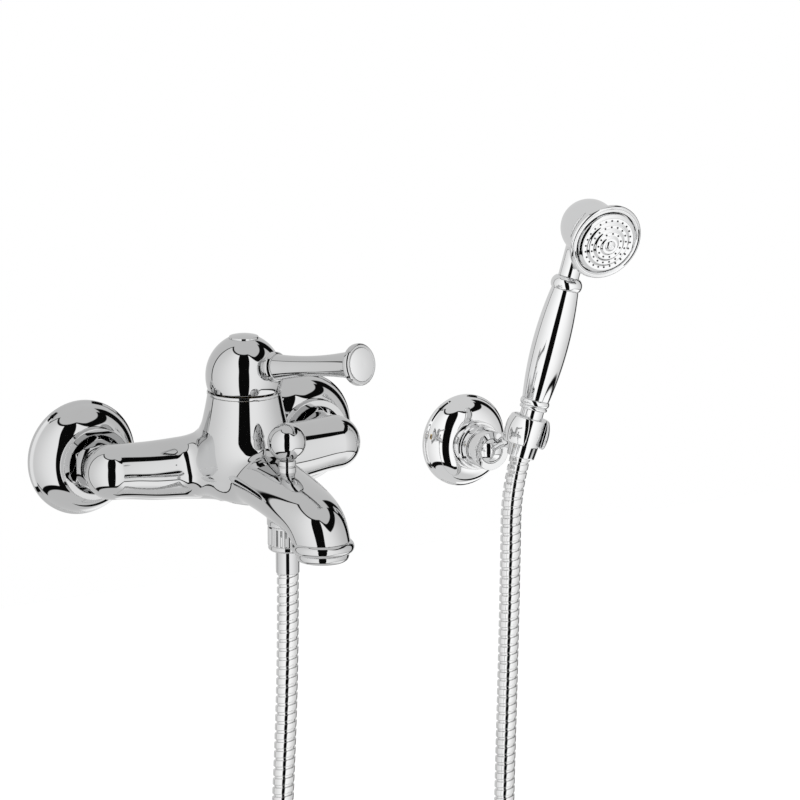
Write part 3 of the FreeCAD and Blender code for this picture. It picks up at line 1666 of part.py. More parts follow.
def ribbed_hose():
    route = Route(hose_route)
    outer, groove, bore = S.hose_radius.value, S.hose_groove.value, S.hose_bore.value
    ribs = int(S.hose_ribs.value)
    straight = 2 * outer
    pitch = (route.length - 2 * straight) / ribs
    skin = [route.ring(0, outer), route.ring(straight, outer)]
    for k in range(ribs):
        start = straight + k * pitch
        for share, radius in ((0.08, groove), (0.3, groove), (0.42, outer), (0.96, outer)):
            skin.append(route.ring(start + share * pitch, radius))
    skin.append(route.ring(route.length - straight, outer))
    skin.append(route.ring(route.length, outer))
    steps = 150
    lining = [route.ring(route.length * k / steps, bore) for k in range(steps + 1)]
    faces = Part.makeLoft(skin, False, True).Faces + Part.makeLoft(lining, False, True).Faces
    for wide, narrow in ((skin[0], lining[0]), (skin[-1], lining[-1])):
        faces.append(Part.makeFace([wide, narrow], "Part::FaceMakerBullseye"))
    shell = Part.makeShell(faces)
    shell.sewShape()
    solid = Part.makeSolid(shell)
    if solid.Volume < 0:
        solid.reverse()
    hose = doc.addObject("Part::Feature", "shower_hose")
    hose.Shape = solid
    keep("shower_hose", hose)
    section = math.pi * (0.7 * outer ** 2 + 0.3 * groove ** 2 - bore ** 2)
    print("hose length", round(route.length, 1), "pitch", round(pitch, 2))
    print("hose radii", [round(r) for r in route.radii])
    print("hose volume", round(solid.Volume), "section times length", round(section * route.length))


ribbed_hose()


# Checks and export
def check_and_write():
    doc.recompute()
    faults = [o.Name for o in doc.Objects if set(o.State) & {"Invalid", "Error"}]
    for node, thing in nodes.items():
        shape = thing.Shape
        if shape.isNull() or not shape.isValid() or not shape.Solids:
            faults.append(f"{node} shape")
    if faults:
        raise RuntimeError(f"failed: {faults}")
    for node, thing in nodes.items():
        thing.Shape.exportStep(f"parts/{node}.step")
    print(len(nodes), "nodes written")


check_and_write()
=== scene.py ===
"""Wall-mounted bath mixer with diverter, metal hose, wall bracket and hand shower, dressed for display.

Lengths that describe a piece are in millimetres, and its mesh is in metres. The wall is the plane
Y = 0, the mixer faces -Y and +Z is up.
"""

import json
import logging
import math
from dataclasses import dataclass, field
from enum import Enum
from typing import Callable, ClassVar, Sequence

import bmesh
import bpy
import numpy as np
from mathutils import Matrix, Vector

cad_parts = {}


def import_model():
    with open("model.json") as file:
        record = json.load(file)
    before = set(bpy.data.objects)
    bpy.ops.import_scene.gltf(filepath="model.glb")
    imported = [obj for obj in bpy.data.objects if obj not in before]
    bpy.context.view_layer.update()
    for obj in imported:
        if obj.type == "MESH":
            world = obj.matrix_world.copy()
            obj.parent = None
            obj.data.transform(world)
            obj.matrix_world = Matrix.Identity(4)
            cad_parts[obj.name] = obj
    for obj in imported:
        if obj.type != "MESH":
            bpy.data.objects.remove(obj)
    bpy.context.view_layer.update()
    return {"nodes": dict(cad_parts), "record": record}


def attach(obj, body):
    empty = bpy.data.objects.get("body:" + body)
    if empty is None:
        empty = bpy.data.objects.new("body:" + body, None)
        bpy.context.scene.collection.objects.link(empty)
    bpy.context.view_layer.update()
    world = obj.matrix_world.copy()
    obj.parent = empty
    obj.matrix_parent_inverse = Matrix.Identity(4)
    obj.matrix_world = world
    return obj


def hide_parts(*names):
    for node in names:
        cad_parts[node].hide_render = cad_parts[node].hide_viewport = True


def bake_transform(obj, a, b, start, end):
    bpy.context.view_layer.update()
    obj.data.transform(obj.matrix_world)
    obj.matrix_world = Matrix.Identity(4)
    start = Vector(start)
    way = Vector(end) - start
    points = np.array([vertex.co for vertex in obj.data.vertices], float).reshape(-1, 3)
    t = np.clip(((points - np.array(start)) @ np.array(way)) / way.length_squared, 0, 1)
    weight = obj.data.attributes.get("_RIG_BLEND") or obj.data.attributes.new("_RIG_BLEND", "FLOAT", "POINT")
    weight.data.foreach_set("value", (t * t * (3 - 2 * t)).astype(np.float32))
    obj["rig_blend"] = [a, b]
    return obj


FRAME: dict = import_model()

MM = 0.001
SEAT_GAP = 0.02
FIT_GAP = 0.05
RIGHT = Vector((1, 0, 0))
FRONT = Vector((0, -1, 0))
UP = Vector((0, 0, 1))
FULL_TURN = 2 * math.pi

log = logging.getLogger("bath_mixer")

Point = tuple[float, float]
Place = tuple[float, float, float]
Field = Callable[[np.ndarray, np.ndarray, np.ndarray], np.ndarray]
RimShape = Callable[[np.ndarray, float, float], np.ndarray]


# ---------------------------------------------------------------- places and outlines


def axis_place(base: Sequence[float], along: Vector, across: Vector = RIGHT) -> Matrix:
    """Gives the place of a turned piece.

    Args:
        base: The point on the axis that heights count from, in millimetres.
        along: The direction of the axis.
        across: The direction that the local X axis comes nearest to.

    Returns:
        A matrix whose Z axis is the piece's own axis.
    """
    z_axis = along.normalized()
    x_axis = (across - z_axis * across.dot(z_axis)).normalized()
    y_axis = z_axis.cross(x_axis)
    turned = Matrix((x_axis, y_axis, z_axis)).transposed().to_4x4()
    turned.translation = Vector(base)
    return turned


def direction(bearing: float, lift: float) -> Vector:
    """A direction, in degrees to the right of straight out of the wall and above level."""
    turn, rise = math.radians(bearing), math.radians(lift)
    return Vector((math.sin(turn) * math.cos(rise), -math.cos(turn) * math.cos(rise), math.sin(rise)))


def chord(radius: float, height: float) -> float:
    """How wide a circle of this radius is, from its axis, at a height from its centre."""
    return math.sqrt(radius * radius - height * height)


@dataclass(frozen=True)
class Bend:
    """The middle point of an arc between the outline's points before and after it."""

    radius: float
    height: float


def smooth_through(knots: Sequence[float], values: Sequence[float], at: np.ndarray) -> np.ndarray:
    """Gives values of the evenly bending curve through the given ones.

    Args:
        knots: Where the values are given, rising.
        values: The values there.
        at: Where values are wanted.

    Returns:
        The curve's values.
    """
    knots, values = np.array(knots, float), np.array(values, float)
    gap, count = np.diff(knots), len(knots)
    matrix, right = np.eye(count), np.zeros(count)
    for k in range(1, count - 1):
        matrix[k, k - 1:k + 2] = gap[k - 1] / 6, (gap[k - 1] + gap[k]) / 3, gap[k] / 6
        right[k] = (values[k + 1] - values[k]) / gap[k] - (values[k] - values[k - 1]) / gap[k - 1]
    bend = np.linalg.solve(matrix, right)
    part = np.clip(np.searchsorted(knots, at) - 1, 0, count - 2)
    up, wide = (at - knots[part]) / gap[part], gap[part]
    down = 1 - up
    curved = (down ** 3 - down) * bend[part] + (up ** 3 - up) * bend[part + 1]
    return down * values[part] + up * values[part + 1] + curved * wide ** 2 / 6


class Outline:
    """A turned piece's outline: straight runs and arcs, with its corners eased."""

    ARC_STEP: ClassVar[float] = 0.45
    ARC_TURN: ClassVar[float] = math.radians(5)
    FEWEST_STEPS: ClassVar[int] = 6
    LEAST_CORNER: ClassVar[float] = math.radians(9)
    EASED_SHARE: ClassVar[float] = 0.35
    EASE_STEPS: ClassVar[int] = 6
    CLOSE: ClassVar[float] = 0.05
    SAME: ClassVar[float] = 1e-4

    def __init__(self, stops: Sequence[Point | Bend], closed: bool, ease: float) -> None:
        """Traces the outline.

        Args:
            stops: Corner points and the middle points of arcs, as (radius, height).
            closed: Whether the last point joins the first.
            ease: How far a corner is rounded, along each of its runs.
        """
        self.closed = closed
        runs = self._runs(list(stops))
        self.points = self._eased(runs, ease)

    def _runs(self, stops: list[Point | Bend]) -> list[np.ndarray]:
        """The runs between corners, each as an array of points."""
        if self.closed:
            stops = stops + [stops[0]]
        runs, place = [], 0
        while place < len(stops) - 1:
            start = np.array(stops[place], float)
            following = stops[place + 1]
            if isinstance(following, Bend):
                end = np.array(stops[place + 2], float)
                middle = np.array((following.radius, following.height), float)
                runs.append(self._arc(start, middle, end))
                place += 2
            else:
                runs.append(np.array((start, np.array(following, float))))
                place += 1
        return runs

    def _arc(self, start: np.ndarray, middle: np.ndarray, end: np.ndarray) -> np.ndarray:
        """Points along the circle through three points."""
        matrix = 2 * np.array((middle - start, end - start))
        value = np.array((middle @ middle - start @ start, end @ end - start @ start))
        centre = np.linalg.solve(matrix, value)
        angles = [math.atan2(*(point - centre)[::-1]) for point in (start, middle, end)]
        span = (angles[2] - angles[0]) % FULL_TURN
        if (angles[1] - angles[0]) % FULL_TURN > span:
            span -= FULL_TURN
        radius = float(np.linalg.norm(start - centre))
        steps = max(self.FEWEST_STEPS, int(abs(span) * radius / self.ARC_STEP), int(abs(span) / self.ARC_TURN))
        turn = angles[0] + span * np.linspace(0, 1, steps + 1)
        return centre + radius * np.column_stack((np.cos(turn), np.sin(turn)))

    def _trimmed(self, run: np.ndarray, start: float, end: float) -> np.ndarray:
        """The part of a run between two distances along it, with a close pair at each end of a straight one."""
        steps = np.r_[0, np.cumsum(np.linalg.norm(np.diff(run, axis=0), axis=1))]
        wanted = [start, end]
        if len(run) == 2 and end - start > 3 * max(start, 0.4 * self.CLOSE):
            near = max(start, self.CLOSE) * 0.6
            wanted += [start + near, end - near]
        wanted += [value for value in steps if start + self.CLOSE < value < end - self.CLOSE]
        wanted = np.array(sorted(wanted))
        return np.column_stack([np.interp(wanted, steps, run[:, k]) for k in (0, 1)])

    def _eased(self, runs: list[np.ndarray], ease: float) -> np.ndarray:
        """The whole outline with every real corner rounded."""
        lengths = [float(np.linalg.norm(np.diff(run, axis=0), axis=1).sum()) for run in runs]
        count = len(runs)
        cuts = [[0.0, 0.0] for _ in runs]
        for k in range(count if self.closed else count - 1):
            after = (k + 1) % count
            way_in = runs[k][-1] - runs[k][-2]
            way_out = runs[after][1] - runs[after][0]
            turn = way_in @ way_out / (np.linalg.norm(way_in) * np.linalg.norm(way_out))
            if turn < math.cos(self.LEAST_CORNER):
                shorter = min(lengths[k], lengths[after])
                cuts[k][1] = cuts[after][0] = min(ease, self.EASED_SHARE * shorter)
        traced: list[np.ndarray] = []
        for k, run in enumerate(runs):
            piece = self._trimmed(run, cuts[k][0], lengths[k] - cuts[k][1])
            traced.append(piece)
            if cuts[k][1]:
                after = (k + 1) % count
                far = self._trimmed(runs[after], cuts[after][0], lengths[after] - cuts[after][1])[0]
                share = np.linspace(0, 1, self.EASE_STEPS)[1:-1, None]
                traced.append((1 - share) ** 2 * piece[-1] + 2 * share * (1 - share) * run[-1] + share ** 2 * far)
        points = np.concatenate(traced)
        points = points[np.r_[True, np.linalg.norm(np.diff(points, axis=0), axis=1) > self.SAME]]
        if self.closed and np.linalg.norm(points[0] - points[-1]) < self.SAME:
            points = points[:-1]
        return points


# ---------------------------------------------------------------- meshes


class Mesh:
    """Makes Blender meshes from arrays of points in millimetres."""

    SHARP: ClassVar[float] = math.radians(32)
    MERGED: ClassVar[float] = 2e-7
    ON_AXIS: ClassVar[float] = 1e-5
    TURN_STEP: ClassVar[float] = 0.75
    FEWEST: ClassVar[int] = 48
    MOST: ClassVar[int] = 200
    WHOLE_STEPS: ClassVar[int] = 12

    @staticmethod
    def solid(name: str, points: np.ndarray, faces: Sequence[Sequence[int]], place: Matrix | None = None,
              normals: np.ndarray | None = None) -> bpy.types.Object:
        """Makes one object.

        Args:
            name: The object's name.
            points: Its vertices, in millimetres and in the place's own axes.
            faces: The vertices of each face.
            place: Where the piece stands in the part's frame.
            normals: A normal for each vertex, in the place's own axes, where they are known.

        Returns:
            The new object, smooth shaded and linked to the scene.
        """
        place = place or Matrix.Identity(4)
        turned = np.array(place.to_3x3())
        world = (points @ turned.T + np.array(place.translation)) * MM
        mesh = bpy.data.meshes.new(name)
        mesh.from_pydata(world.tolist(), [], [list(face) for face in faces])
        form = bmesh.new()
        form.from_mesh(mesh)
        if normals is None:
            bmesh.ops.remove_doubles(form, verts=form.verts, dist=Mesh.MERGED)
        bmesh.ops.recalc_face_normals(form, faces=form.faces)
        form.to_mesh(mesh)
        form.free()
        mesh.shade_smooth()
        if normals is None:
            mesh.set_sharp_from_angle(angle=Mesh.SHARP)
        else:
            mesh.normals_split_custom_set_from_vertices((normals @ turned.T).tolist())
        piece = bpy.data.objects.new(name, mesh)
        bpy.context.scene.collection.objects.link(piece)
        return piece

    @staticmethod
    def turned(name: str, place: Matrix, stops: Sequence[Point | Bend], ease: float = 0.3,
               rim: RimShape | None = None, segments: int | None = None) -> bpy.types.Object:
        """Turns an outline about the place's Z axis.

        Args:
            name: The object's name.
            place: The axis, as axis_place gives it.
            stops: The outline's corners and arcs, from and to the axis or all the way round.
            ease: How far its corners are rounded.
            rim: Changes the radius at angles round the axis, for flutes and flats.
            segments: How many steps make the full turn.

        Returns:
            The new object.
        """
        ends = [stop.radius if isinstance(stop, Bend) else stop[0] for stop in (stops[0], stops[-1])]
        closed = max(ends) > Mesh.ON_AXIS
        outline = Outline(stops, closed, ease).points
        wanted = FULL_TURN * float(outline[:, 0].max()) / Mesh.TURN_STEP
        count = segments or int(min(max(wanted, Mesh.FEWEST), Mesh.MOST) / Mesh.WHOLE_STEPS) * Mesh.WHOLE_STEPS
        angles = np.linspace(0, FULL_TURN, count, endpoint=False)
        points: list[np.ndarray] = []
        rings: list[np.ndarray] = []
        total = 0
        for radius, height in outline:
            if radius < Mesh.ON_AXIS:
                points.append(np.array([[0.0, 0.0, height]]))
                rings.append(np.array([total]))
                total += 1
                continue
            wide = rim(angles, radius, height) if rim else np.full(count, radius)
            points.append(np.column_stack((wide * np.cos(angles), wide * np.sin(angles), np.full(count, height))))
            rings.append(np.arange(total, total + count))
            total += count
        faces: list[list[int]] = []
        pairs = list(zip(rings, rings[1:])) + ([(rings[-1], rings[0])] if closed else [])
        for low, high in pairs:
            for k in range(count):
                after = (k + 1) % count
                corners = [low[k % len(low)], low[after % len(low)], high[after % len(high)], high[k % len(high)]]
                face = list(dict.fromkeys(int(corner) for corner in corners))
                if len(face) > 2:
                    faces.append(face)
        return Mesh.solid(name, np.concatenate(points), faces, place)


class Blend:
    """Ways to join forms that are given as distances from a surface, inside being below zero."""

    @staticmethod
    def union(first: np.ndarray, second: np.ndarray, radius: float) -> np.ndarray:
        """Two forms grown together, with a fillet of about this radius."""
        share = np.clip(0.5 + 0.5 * (second - first) / radius, 0, 1)
        return second * (1 - share) + first * share - radius * share * (1 - share)

    @staticmethod
    def cut(first: np.ndarray, second: np.ndarray, radius: float) -> np.ndarray:
        """The first form without the second, with an edge of about this radius."""
        return -Blend.union(-first, second, radius)


@dataclass(frozen=True)
class Casting:
    """A form given by a field, which becomes a mesh that lies exactly on its surface."""

    name: str
    shape: Field
    low: Place
    high: Place
    step: float

    QUICK: ClassVar[float] = 1.7
    ROUNDS: ClassVar[int] = 4
    REACH: ClassVar[float] = 0.02
    LEAST_SLOPE: ClassVar[float] = 0.05

    def mesh(self, place: Matrix) -> bpy.types.Object:
        """Makes the object.

        Args:
            place: Where the field's own axes stand in the part's frame.

        Returns:
            The new object, with normals taken from the field.
        """
        step = self.step * 1
        sides = [np.arange(a, b + step, step) for a, b in zip(self.low, self.high)]
        grid = [side.reshape([-1 if k == axis else 1 for k in range(3)]) for axis, side in enumerate(sides)]
        values = np.broadcast_to(self.shape(*grid), [len(side) for side in sides]).astype(np.float32)
        points, faces = self._net(values)
        points = points * step + np.array(self.low)
        for _ in range(self.ROUNDS):
            slope = self._slope(points)
            length = np.maximum((slope ** 2).sum(1, keepdims=True), self.LEAST_SLOPE)
            points = points - np.clip(self.shape(*points.T)[:, None] * slope / length, -step, step)
        slope = self._slope(points)
        return Mesh.solid(self.name, points, faces, place, slope / np.linalg.norm(slope, axis=1, keepdims=True))

    def _slope(self, points: np.ndarray) -> np.ndarray:
        """The field's slope at points, by central differences."""
        shifts = np.eye(3) * self.REACH
        return np.column_stack([(self.shape(*(points + shift).T) - self.shape(*(points - shift).T)) / (2 * self.REACH)
                                for shift in shifts])

    @staticmethod
    def _net(values: np.ndarray) -> tuple[np.ndarray, np.ndarray]:
        """One vertex in each cell that the surface crosses, and a face across each crossed edge.

        Args:
            values: The field on a regular grid.

        Returns:
            The vertices, in steps from the grid's corner, and the faces.
        """
        cells = tuple(size - 1 for size in values.shape)
        total = np.zeros(cells + (3,), np.float32)
        crossed = np.zeros(cells, np.int32)
        edges = []
        for axis in range(3):
            first = np.take(values, range(values.shape[axis] - 1), axis)
            second = np.take(values, range(1, values.shape[axis]), axis)
            at = np.argwhere((first < 0) != (second < 0))
            here = tuple(at.T)
            share = first[here] / (first[here] - second[here])
            place = at.astype(np.float32)
            place[:, axis] += share
            across = [k for k in range(3) if k != axis]
            for back in ((0, 0), (0, 1), (1, 0), (1, 1)):
                cell = at.copy()
                cell[:, across] -= back
                good = np.all((cell >= 0) & (cell < np.array(cells)), axis=1)
                np.add.at(total, tuple(cell[good].T), place[good])
                np.add.at(crossed, tuple(cell[good].T), 1)
            edges.append((axis, across, at, first[here] < 0))
        used = crossed > 0
        number = np.full(cells, -1, np.int64)
        number[used] = np.arange(int(used.sum()))
        points = total[used] / crossed[used][:, None]
        faces = []
        for axis, across, at, inside in edges:
            inner = (at[:, across[0]] > 0) & (at[:, across[1]] > 0)
            inner &= (at[:, across[0]] < cells[across[0]]) & (at[:, across[1]] < cells[across[1]])
            at, inside = at[inner], inside[inner]
            corners = []
            for back in ((1, 1), (0, 1), (0, 0), (1, 0)):
                cell = at.copy()
                cell[:, across] -= back
                corners.append(number[tuple(cell.T)])
            face = np.column_stack(corners)
            flip = inside if axis != 1 else ~inside
            face[~flip] = face[~flip][:, ::-1]
            faces.append(face)
        return points, np.concatenate(faces)


# ---------------------------------------------------------------- finishes


@dataclass
class Board:
    """A node tree with short ways to add and join its nodes."""

    tree: bpy.types.NodeTree

    def node(self, kind: str, **settings: object) -> bpy.types.Node:
        """Adds a node and sets its properties."""
        made = self.tree.nodes.new(kind)
        for name, value in settings.items():
            setattr(made, name, value)
        return made

    def join(self, source: bpy.types.NodeSocket, target: bpy.types.NodeSocket) -> None:
        """Links one socket to another."""
        self.tree.links.new(source, target)

    def feed(self, target: bpy.types.NodeSocket, value: object) -> None:
        """Links or sets a socket, as the value is a socket or a plain value."""
        if isinstance(value, bpy.types.NodeSocket):
            self.join(value, target)
        else:
            target.default_value = value

    def math(self, operation: str, *values: object, clamp: bool = False) -> bpy.types.NodeSocket:
        """Adds a Math node on sockets or numbers and gives its result."""
        made = self.node("ShaderNodeMath", operation=operation, use_clamp=clamp)
        for socket, value in zip(made.inputs, values):
            self.feed(socket, value)
        return made.outputs[0]

    def dot(self, vector: bpy.types.NodeSocket, other: Sequence[float]) -> bpy.types.NodeSocket:
        """The dot product of a vector socket and a fixed direction."""
        made = self.node("ShaderNodeVectorMath", operation="DOT_PRODUCT")
        self.join(vector, made.inputs[0])
        made.inputs[1].default_value = tuple(other)
        return made.outputs["Value"]

    def step(self, value: object, low: object, high: object, start: float = 0,
             end: float = 1) -> bpy.types.NodeSocket:
        """A smooth change from start to end as the value goes from low to high."""
        made = self.node("ShaderNodeMapRange", interpolation_type="SMOOTHSTEP")
        given = {"Value": value, "From Min": low, "From Max": high, "To Min": start, "To Max": end}
        for name, setting in given.items():
            self.feed(made.inputs[name], setting)
        return made.outputs[0]

    def mix(self, share: object, first: object, second: object) -> bpy.types.NodeSocket:
        """A colour between two colours."""
        made = self.node("ShaderNodeMix", data_type="RGBA")
        self.feed(made.inputs["Factor"], share)
        colours = [socket for socket in made.inputs if socket.type == "RGBA"]
        for socket, colour in zip(colours, (first, second)):
            self.feed(socket, colour)
        return next(socket for socket in made.outputs if socket.type == "RGBA")

    def noise(self, vector: object, scale: object, detail: float,
              stretch: Sequence[float] | None = None) -> bpy.types.NodeSocket:
        """A noise value over the surface."""
        if stretch:
            mapping = self.node("ShaderNodeMapping")
            self.feed(mapping.inputs["Vector"], vector)
            mapping.inputs["Scale"].default_value = tuple(stretch)
            vector = mapping.outputs[0]
        made = self.node("ShaderNodeTexNoise")
        self.feed(made.inputs["Vector"], vector)
        self.feed(made.inputs["Scale"], scale)
        self.feed(made.inputs["Detail"], detail)
        return made.outputs["Fac"]

    def effect(self, effect: "Effect", settings: dict[str, object]) -> bpy.types.Node:
        """Places a shared effect with its own values."""
        made = self.node("ShaderNodeGroup", node_tree=EffectShop.group(effect))
        for name, value in settings.items():
            made.inputs[name].default_value = value
        return made

    def bump(self, shader: bpy.types.Node, height: bpy.types.NodeSocket, strength: float, distance: float) -> None:
        """Raises the shader's surface by a height."""
        made = self.node("ShaderNodeBump")
        made.inputs["Strength"].default_value = strength
        made.inputs["Distance"].default_value = distance
        self.join(height, made.inputs["Height"])
        self.join(made.outputs[0], shader.inputs["Normal"])


class Effect(Enum):
    """The shared surface effects, each a node group that is built once."""

    HANDLING = "handling_marks"
    BUFFING = "buffing_lines"
    GRAIN = "cast_grain"


class EffectShop:
    """Builds the shared node groups and places them in materials."""

    SPOTS: ClassVar[float] = 260.0
    SPOT_EDGE: ClassVar[Point] = (0.12, 0.2)
    SPOT_PATCHES: ClassVar[float] = 55.0
    PATCH_EDGE: ClassVar[Point] = (0.6, 0.68)
    SMEAR_EDGE: ClassVar[Point] = (0.5, 0.78)
    CLOUDS: ClassVar[float] = 60.0
    CLOUD_SHARE: ClassVar[float] = 0.4

    _made: ClassVar[dict[Effect, bpy.types.NodeTree]] = {}

    @classmethod
    def group(cls, effect: Effect) -> bpy.types.NodeTree:
        """The node group of an effect, built at its first use."""
        if effect not in cls._made:
            cls._made[effect] = {
                Effect.HANDLING: cls._handling,
                Effect.BUFFING: cls._buffing,
                Effect.GRAIN: cls._grain,
            }[effect](effect.value)
        return cls._made[effect]

    @staticmethod
    def _blank(name: str, inputs: Sequence[tuple[str, str, object]], outputs: Sequence[tuple[str, str]],
               ) -> tuple[Board, bpy.types.Node, bpy.types.Node]:
        """An empty group with its sockets.

        Args:
            name: The group's name.
            inputs: The name, kind and usual value of each input.
            outputs: The name and kind of each output.

        Returns:
            The group as a board, its input node and its output node.
        """
        tree = bpy.data.node_groups.new(name, "ShaderNodeTree")
        for label, kind, value in inputs:
            socket = tree.interface.new_socket(name=label, in_out="INPUT", socket_type=kind)
            socket.default_value = value
        for label, kind in outputs:
            tree.interface.new_socket(name=label, in_out="OUTPUT", socket_type=kind)
        board = Board(tree)
        return board, board.node("NodeGroupInput"), board.node("NodeGroupOutput")

    @classmethod
    def _handling(cls, name: str) -> bpy.types.NodeTree:
        """Faint smears and dried water spots: roughness and colour that drift over the surface."""
        board, given, result = cls._blank(name, (
            ("Clean Roughness", "NodeSocketFloat", 0.03),
            ("Smeared Roughness", "NodeSocketFloat", 0.1),
            ("Smear Size", "NodeSocketFloat", 30.0),
            ("Clean Colour", "NodeSocketColor", (0.8, 0.8, 0.8, 1)),
            ("Smeared Colour", "NodeSocketColor", (0.7, 0.7, 0.7, 1)),
        ), (("Roughness", "NodeSocketFloat"), ("Colour", "NodeSocketColor"), ("Smear", "NodeSocketFloat")))
        where = board.node("ShaderNodeTexCoord").outputs["Object"]
        broad = board.noise(where, given.outputs["Smear Size"], 5)
        spots = board.node("ShaderNodeTexVoronoi", feature="F1")
        board.join(where, spots.inputs["Vector"])
        spots.inputs["Scale"].default_value = cls.SPOTS
        spot = board.math("MULTIPLY", board.step(spots.outputs["Distance"], *cls.SPOT_EDGE, 1, 0),
                          board.step(board.noise(where, cls.SPOT_PATCHES, 2), *cls.PATCH_EDGE))
        smear = board.math("ADD", board.step(broad, *cls.SMEAR_EDGE), board.math("MULTIPLY", spot, 0.5), clamp=True)
        rough = board.node("ShaderNodeMapRange")
        for name_in, source in (("Value", smear), ("To Min", given.outputs["Clean Roughness"]),
                                ("To Max", given.outputs["Smeared Roughness"])):
            board.join(source, rough.inputs[name_in])
        board.join(rough.outputs[0], result.inputs["Roughness"])
        board.join(board.mix(smear, given.outputs["Clean Colour"], given.outputs["Smeared Colour"]),
                   result.inputs["Colour"])
        board.join(smear, result.inputs["Smear"])
        return board.tree

    @classmethod
    def _buffing(cls, name: str) -> bpy.types.NodeTree:
        """Hairlines left by the buffing wheel, as a height."""
        board, given, result = cls._blank(name, (
            ("Line Size", "NodeSocketFloat", 900.0),
            ("Line Depth", "NodeSocketFloat", 1.0),
        ), (("Height", "NodeSocketFloat"),))
        where = board.node("ShaderNodeTexCoord").outputs["Object"]
        fine = board.noise(where, given.outputs["Line Size"], 3, (1, 1, 0.12))
        cross = board.noise(where, given.outputs["Line Size"], 2, (0.1, 1, 1))
        board.join(board.math("MULTIPLY", board.math("ADD", fine, cross), given.outputs["Line Depth"]),
                   result.inputs["Height"])
        return board.tree

    @classmethod
    def _grain(cls, name: str) -> bpy.types.NodeTree:
        """The fine grain of a moulded, cast or turned surface, as a height and a colour."""
        board, given, result = cls._blank(name, (
            ("Grain Size", "NodeSocketFloat", 1500.0),
            ("Light Colour", "NodeSocketColor", (0.8, 0.8, 0.8, 1)),
            ("Dark Colour", "NodeSocketColor", (0.6, 0.6, 0.6, 1)),
        ), (("Height", "NodeSocketFloat"), ("Colour", "NodeSocketColor")))
        where = board.node("ShaderNodeTexCoord").outputs["Object"]
        grain = board.noise(where, given.outputs["Grain Size"], 6)
        cloud = board.noise(where, cls.CLOUDS, 3)
        share = board.math("ADD", board.math("MULTIPLY", grain, 1 - cls.CLOUD_SHARE),
                           board.math("MULTIPLY", cloud, cls.CLOUD_SHARE), clamp=True)
        board.join(board.mix(share, given.outputs["Dark Colour"], given.outputs["Light Colour"]),
                   result.inputs["Colour"])
        board.join(grain, result.inputs["Height"])
        return board.tree


class Slot(Enum):
    """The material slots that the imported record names."""

    CHROME = "chrome"
    BRASS = "brass"
    STEEL = "steel"
    CERAMIC = "ceramic"
    PLASTIC = "plastic"
    RUBBER = "rubber"


Colour = tuple[float, float, float, float]


def grey(level: float, warmth: float = 0.0) -> Colour:
    """A grey of a linear level, a little warm above zero and a little cool below."""
    return (level * (1 + warmth), level, level * (1 - warmth), 1.0)


def blank_material(name: str, shown: Colour) -> tuple[bpy.types.Material, Board, bpy.types.Node]:
    """Starts a node material.

    Args:
        name: The material's name.
        shown: Its colour in the plain view.

    Returns:
        The material, its node tree as a board, and its Principled shader.
    """
    made = bpy.data.materials.new(name)
    made.use_nodes = True
    made.diffuse_color = shown
    return made, Board(made.node_tree), made.node_tree.nodes["Principled BSDF"]


@dataclass(frozen=True)
class Metal:
    """A metal with faint handling marks and buffing lines."""

    BUMP_HEIGHT: ClassVar[float] = 0.0002

    name: str
    slot: Slot
    clean: Colour
    smeared: Colour
    clean_roughness: float
    smeared_roughness: float
    line_size: float = 900.0
    line_depth: float = 0.004
    smear_size: float = 30.0

    def material(self) -> bpy.types.Material:
        """Builds the node material."""
        made, board, shader = blank_material(self.name, self.clean)
        shader.inputs["Metallic"].default_value = 1.0
        marks = board.effect(Effect.HANDLING, {
            "Clean Roughness": self.clean_roughness,
            "Smeared Roughness": self.smeared_roughness,
            "Smear Size": self.smear_size,
            "Clean Colour": self.clean,
            "Smeared Colour": self.smeared,
        })
        board.join(marks.outputs["Colour"], shader.inputs["Base Color"])
        board.join(marks.outputs["Roughness"], shader.inputs["Roughness"])
        lines = board.effect(Effect.BUFFING, {"Line Size": self.line_size, "Line Depth": 1.0})
        board.bump(shader, lines.outputs["Height"], self.line_depth, self.BUMP_HEIGHT)
        return made


@dataclass(frozen=True)
class Moulded:
    """A ceramic, plastic or rubber with a fine moulded grain."""

    BUMP_HEIGHT: ClassVar[float] = 0.0003
    DRIFT: ClassVar[float] = 0.15

    name: str
    slot: Slot
    light: Colour
    dark: Colour
    roughness: float
    grain_size: float = 1500.0
    grain_depth: float = 0.15
    coat: float = 0.0

    def material(self) -> bpy.types.Material:
        """Builds the node material."""
        made, board, shader = blank_material(self.name, self.light)
        shader.inputs["Coat Weight"].default_value = self.coat
        grain = board.effect(Effect.GRAIN, {
            "Grain Size": self.grain_size,
            "Light Colour": self.light,
            "Dark Colour": self.dark,
        })
        board.join(grain.outputs["Colour"], shader.inputs["Base Color"])
        smooth, rough = self.roughness * (1 - self.DRIFT), self.roughness * (1 + self.DRIFT)
        board.join(board.step(grain.outputs["Height"], 0.3, 0.7, smooth, rough), shader.inputs["Roughness"])
        board.bump(shader, grain.outputs["Height"], self.grain_depth, self.BUMP_HEIGHT)
        return made


